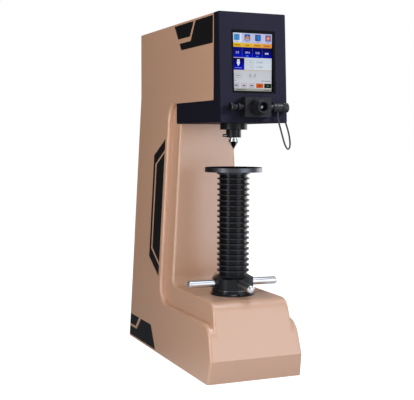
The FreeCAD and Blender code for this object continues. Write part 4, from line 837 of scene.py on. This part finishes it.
# ------------------------------------------------------------------ room and light
def stage():
    sc = bpy.context.scene
    sc.view_settings.view_transform = "Standard"
    sc.view_settings.look = "None"
    w = bpy.data.worlds.new("studio")
    sc.world = w
    w.use_nodes = True
    nt = w.node_tree
    bg = nt.nodes["Background"]
    bg.inputs["Strength"].default_value = 1.0
    co = nt.nodes.new("ShaderNodeTexCoord")
    sep = nt.nodes.new("ShaderNodeSeparateXYZ")
    nt.links.new(co.outputs["Generated"], sep.inputs["Vector"])

    def span(sock, lo, hi, u, v):
        r = nt.nodes.new("ShaderNodeMapRange")
        r.interpolation_type = "SMOOTHSTEP"
        r.inputs["From Min"].default_value = lo
        r.inputs["From Max"].default_value = hi
        r.inputs["To Min"].default_value = u
        r.inputs["To Max"].default_value = v
        nt.links.new(sock, r.inputs["Value"])
        return r.outputs["Result"]

    def dot(vec):
        d = nt.nodes.new("ShaderNodeVectorMath")
        d.operation = "DOT_PRODUCT"
        nt.links.new(co.outputs["Generated"], d.inputs[0])
        d.inputs[1].default_value = vec
        return d.outputs["Value"]

    def times(p, q):
        m = nt.nodes.new("ShaderNodeMath")
        m.operation = "MULTIPLY"
        nt.links.new(p, m.inputs[0])
        nt.links.new(q, m.inputs[1])
        return m.outputs[0]

    floor_level = span(dot((0.39, -0.92, 0.0)), -0.30, 0.75, FLOOR_SIDE, FLOOR_FRONT)
    below = span(sep.outputs["Z"], -0.30, 0.02, 1.0, 0.0)
    above = span(sep.outputs["Z"], -0.30, 0.02, 0.0, SKY_GLOW)
    shade_side = span(dot((-0.40, 0.915, 0.0)), 0.25, 0.90, 1.0, DARK_SIDE)
    both = nt.nodes.new("ShaderNodeMath")
    both.operation = "ADD"
    nt.links.new(times(floor_level, below), both.inputs[0])
    nt.links.new(above, both.inputs[1])
    lum = times(both.outputs[0], shade_side)
    nt.links.new(lum, bg.inputs["Color"])

    # the floor and the white dome behind are seen by the camera only
    me = bpy.data.meshes.new("floor")
    n, r = 96, 28.0
    me.from_pydata([(r * math.cos(2 * math.pi * i / n), r * math.sin(2 * math.pi * i / n), -0.0004) for i in range(n)],
                   [], [tuple(range(n))])
    floor = bpy.data.objects.new("floor", me)
    sc.collection.objects.link(floor)
    fm = Mat("floor_white", (0.30, 0.30, 0.30, 1.0), 0.8, spec=0.0, emit=(1, 1, 1, 1), emit_power=0.93)
    fm.vary(2.0, 0.01)
    me.materials.append(fm.m)
    bm = bmesh.new()
    bmesh.ops.create_uvsphere(bm, u_segments=48, v_segments=24, radius=29.0)
    dme = bpy.data.meshes.new("backdrop")
    bm.to_mesh(dme)
    bm.free()
    dome = bpy.data.objects.new("backdrop", dme)
    sc.collection.objects.link(dome)
    dm = Mat("backdrop_white", (0, 0, 0, 1), 1.0, spec=0.0, emit=(1, 1, 1, 1), emit_power=1.0)
    dme.materials.append(dm.m)
    for o in (floor, dome):
        o.visible_diffuse = False
        o.visible_glossy = False
    dome.visible_shadow = False
    dome.visible_volume_scatter = False

    # light thrown back by the white table near the base, fading outwards
    bme = bpy.data.meshes.new("table_bounce")
    br = 1.9
    bme.from_pydata([(br * math.cos(2 * math.pi * i / 64), 0.1 + br * math.sin(2 * math.pi * i / 64), -0.0012) for i in range(64)],
                    [], [tuple(range(64))])
    bounce = bpy.data.objects.new("table_bounce", bme)
    sc.collection.objects.link(bounce)
    bm2 = Mat("bounce_white", (0, 0, 0, 1), 1.0, spec=0.0, emit=(0.94, 1.0, 1.09, 1), emit_power=1.0)
    ln = bm2.add("ShaderNodeVectorMath", operation="LENGTH")
    bm2.link(bm2.coords(), ln.inputs[0])
    sp = bm2.add("ShaderNodeSeparateXYZ")
    bm2.link(bm2.coords(), sp.inputs["Vector"])
    both_ways = bm2.add("ShaderNodeMath", operation="MULTIPLY")
    bm2.link(bm2.span(ln.outputs["Value"], 0.25, 1.8, TABLE_NEAR, TABLE_FAR), both_ways.inputs[0])
    bm2.link(bm2.span(sp.outputs["Y"], -0.6, 0.3, TABLE_FRONT, TABLE_BACK), both_ways.inputs[1])
    bm2.link(both_ways.outputs[0], bm2.b.inputs["Emission Strength"])
    bme.materials.append(bm2.m)
    bounce.visible_camera = False
    bounce.visible_shadow = False

    def area(name, at, look, size, power, color=(1, 1, 1), size_y=None):
        d = bpy.data.lights.new(name, "AREA")
        d.energy = power
        d.color = color
        d.shape = "RECTANGLE"
        d.size = size
        d.size_y = size_y or size
        o = bpy.data.objects.new(name, d)
        sc.collection.objects.link(o)
        o.location = at
        o.rotation_euler = (Vector(look) - Vector(at)).to_track_quat("-Z", "Y").to_euler()
        o.visible_camera = False
        return o

    for name, at, look, sx, sy, radiance, color, glossy in LIGHTS:
        o = area(name, at, look, sx, radiance * sx * sy * math.pi, color, sy)
        o.visible_glossy = glossy
        if name in SHADED_OFF:          # shaded off everything but the parts named
            only = bpy.data.collections.new(name + "_receivers")
            for part in SHADED_OFF[name]:
                only.objects.link(NODES.get(part) or bpy.data.objects[part])
            o.light_linking.receiver_collection = only


TABLE_NEAR, TABLE_FAR, TABLE_FRONT, TABLE_BACK = 0.50, 0.50, 2.35, 0.33
TURNED = ("encoder_drum", "right_knob_knurled", "left_knob_knurled", "left_collar_grooved")
SHADED_OFF = {
    "head_key": ("front_cover", "display_bezel", "micrometer_body", "microscope_tube", "eyepiece_barrel",
                 "eyepiece_ring", "cable_bush", "cable_socket", "cable_plug") + TURNED,
    "drum_glint": TURNED,
}
FLOOR_SIDE, FLOOR_FRONT, SKY_GLOW, DARK_SIDE = 0.41, 1.25, 0.34, 0.20
LIGHTS = [
    # name, place, aimed at, width, height, radiance, colour, seen in reflections
    ("key", (1.30, -2.35, 1.36), (0.0, 0.0, 0.42), 1.4, 1.3, 1.0, (0.90, 1.0, 1.14), True),
    ("front_glow", (1.17, -2.76, 0.34), (0.0, 0.0, 0.38), 1.8, 1.5, 2.0, (0.90, 1.0, 1.14), True),
    ("fill_left", (-2.3, -1.15, 1.05), (0.0, 0.1, 0.40), 1.3, 1.5, 4.55, (1.0, 0.98, 0.95), False),
    ("throat_left", (-0.85, -2.35, 0.22), (0.0, 0.15, 0.44), 0.9, 0.8, 6.2, (0.93, 1.0, 1.10), False),
    ("head_key", (1.15, -1.20, 1.35), (0.03, -0.12, 0.69), 0.40, 0.40, 142.0, (1.0, 1.0, 1.0), False),
    ("drum_glint", (0.55, -1.25, 1.95), (0.03, -0.12, 0.69), 0.40, 0.40, 95.0, (1.0, 1.0, 1.0), True),
    ("left_sheen", (-2.35, -1.05, 0.75), (0.0, 0.1, 0.40), 0.6, 1.6, 5.2, (1.0, 0.99, 0.98), True),
    ("right_sheen", (2.4, 0.35, 0.50), (0.0, 0.0, 0.40), 1.4, 1.7, 2.7, (1.0, 1.0, 1.0), True),
    ("top", (0.2, -0.6, 2.6), (0.0, 0.0, 0.4), 1.4, 1.4, 6.0, (0.86, 1.0, 1.20), True),
    ("back_fill", (0.55, 2.7, 1.0), (0.0, 0.3, 0.42), 1.6, 1.6, 1.5, (1.0, 1.0, 1.0), False),
    ("back_right", (2.15, 1.30, 0.55), (0.0, 0.1, 0.40), 0.9, 1.4, 1.9, (1.0, 1.0, 1.0), True),
]
stage()
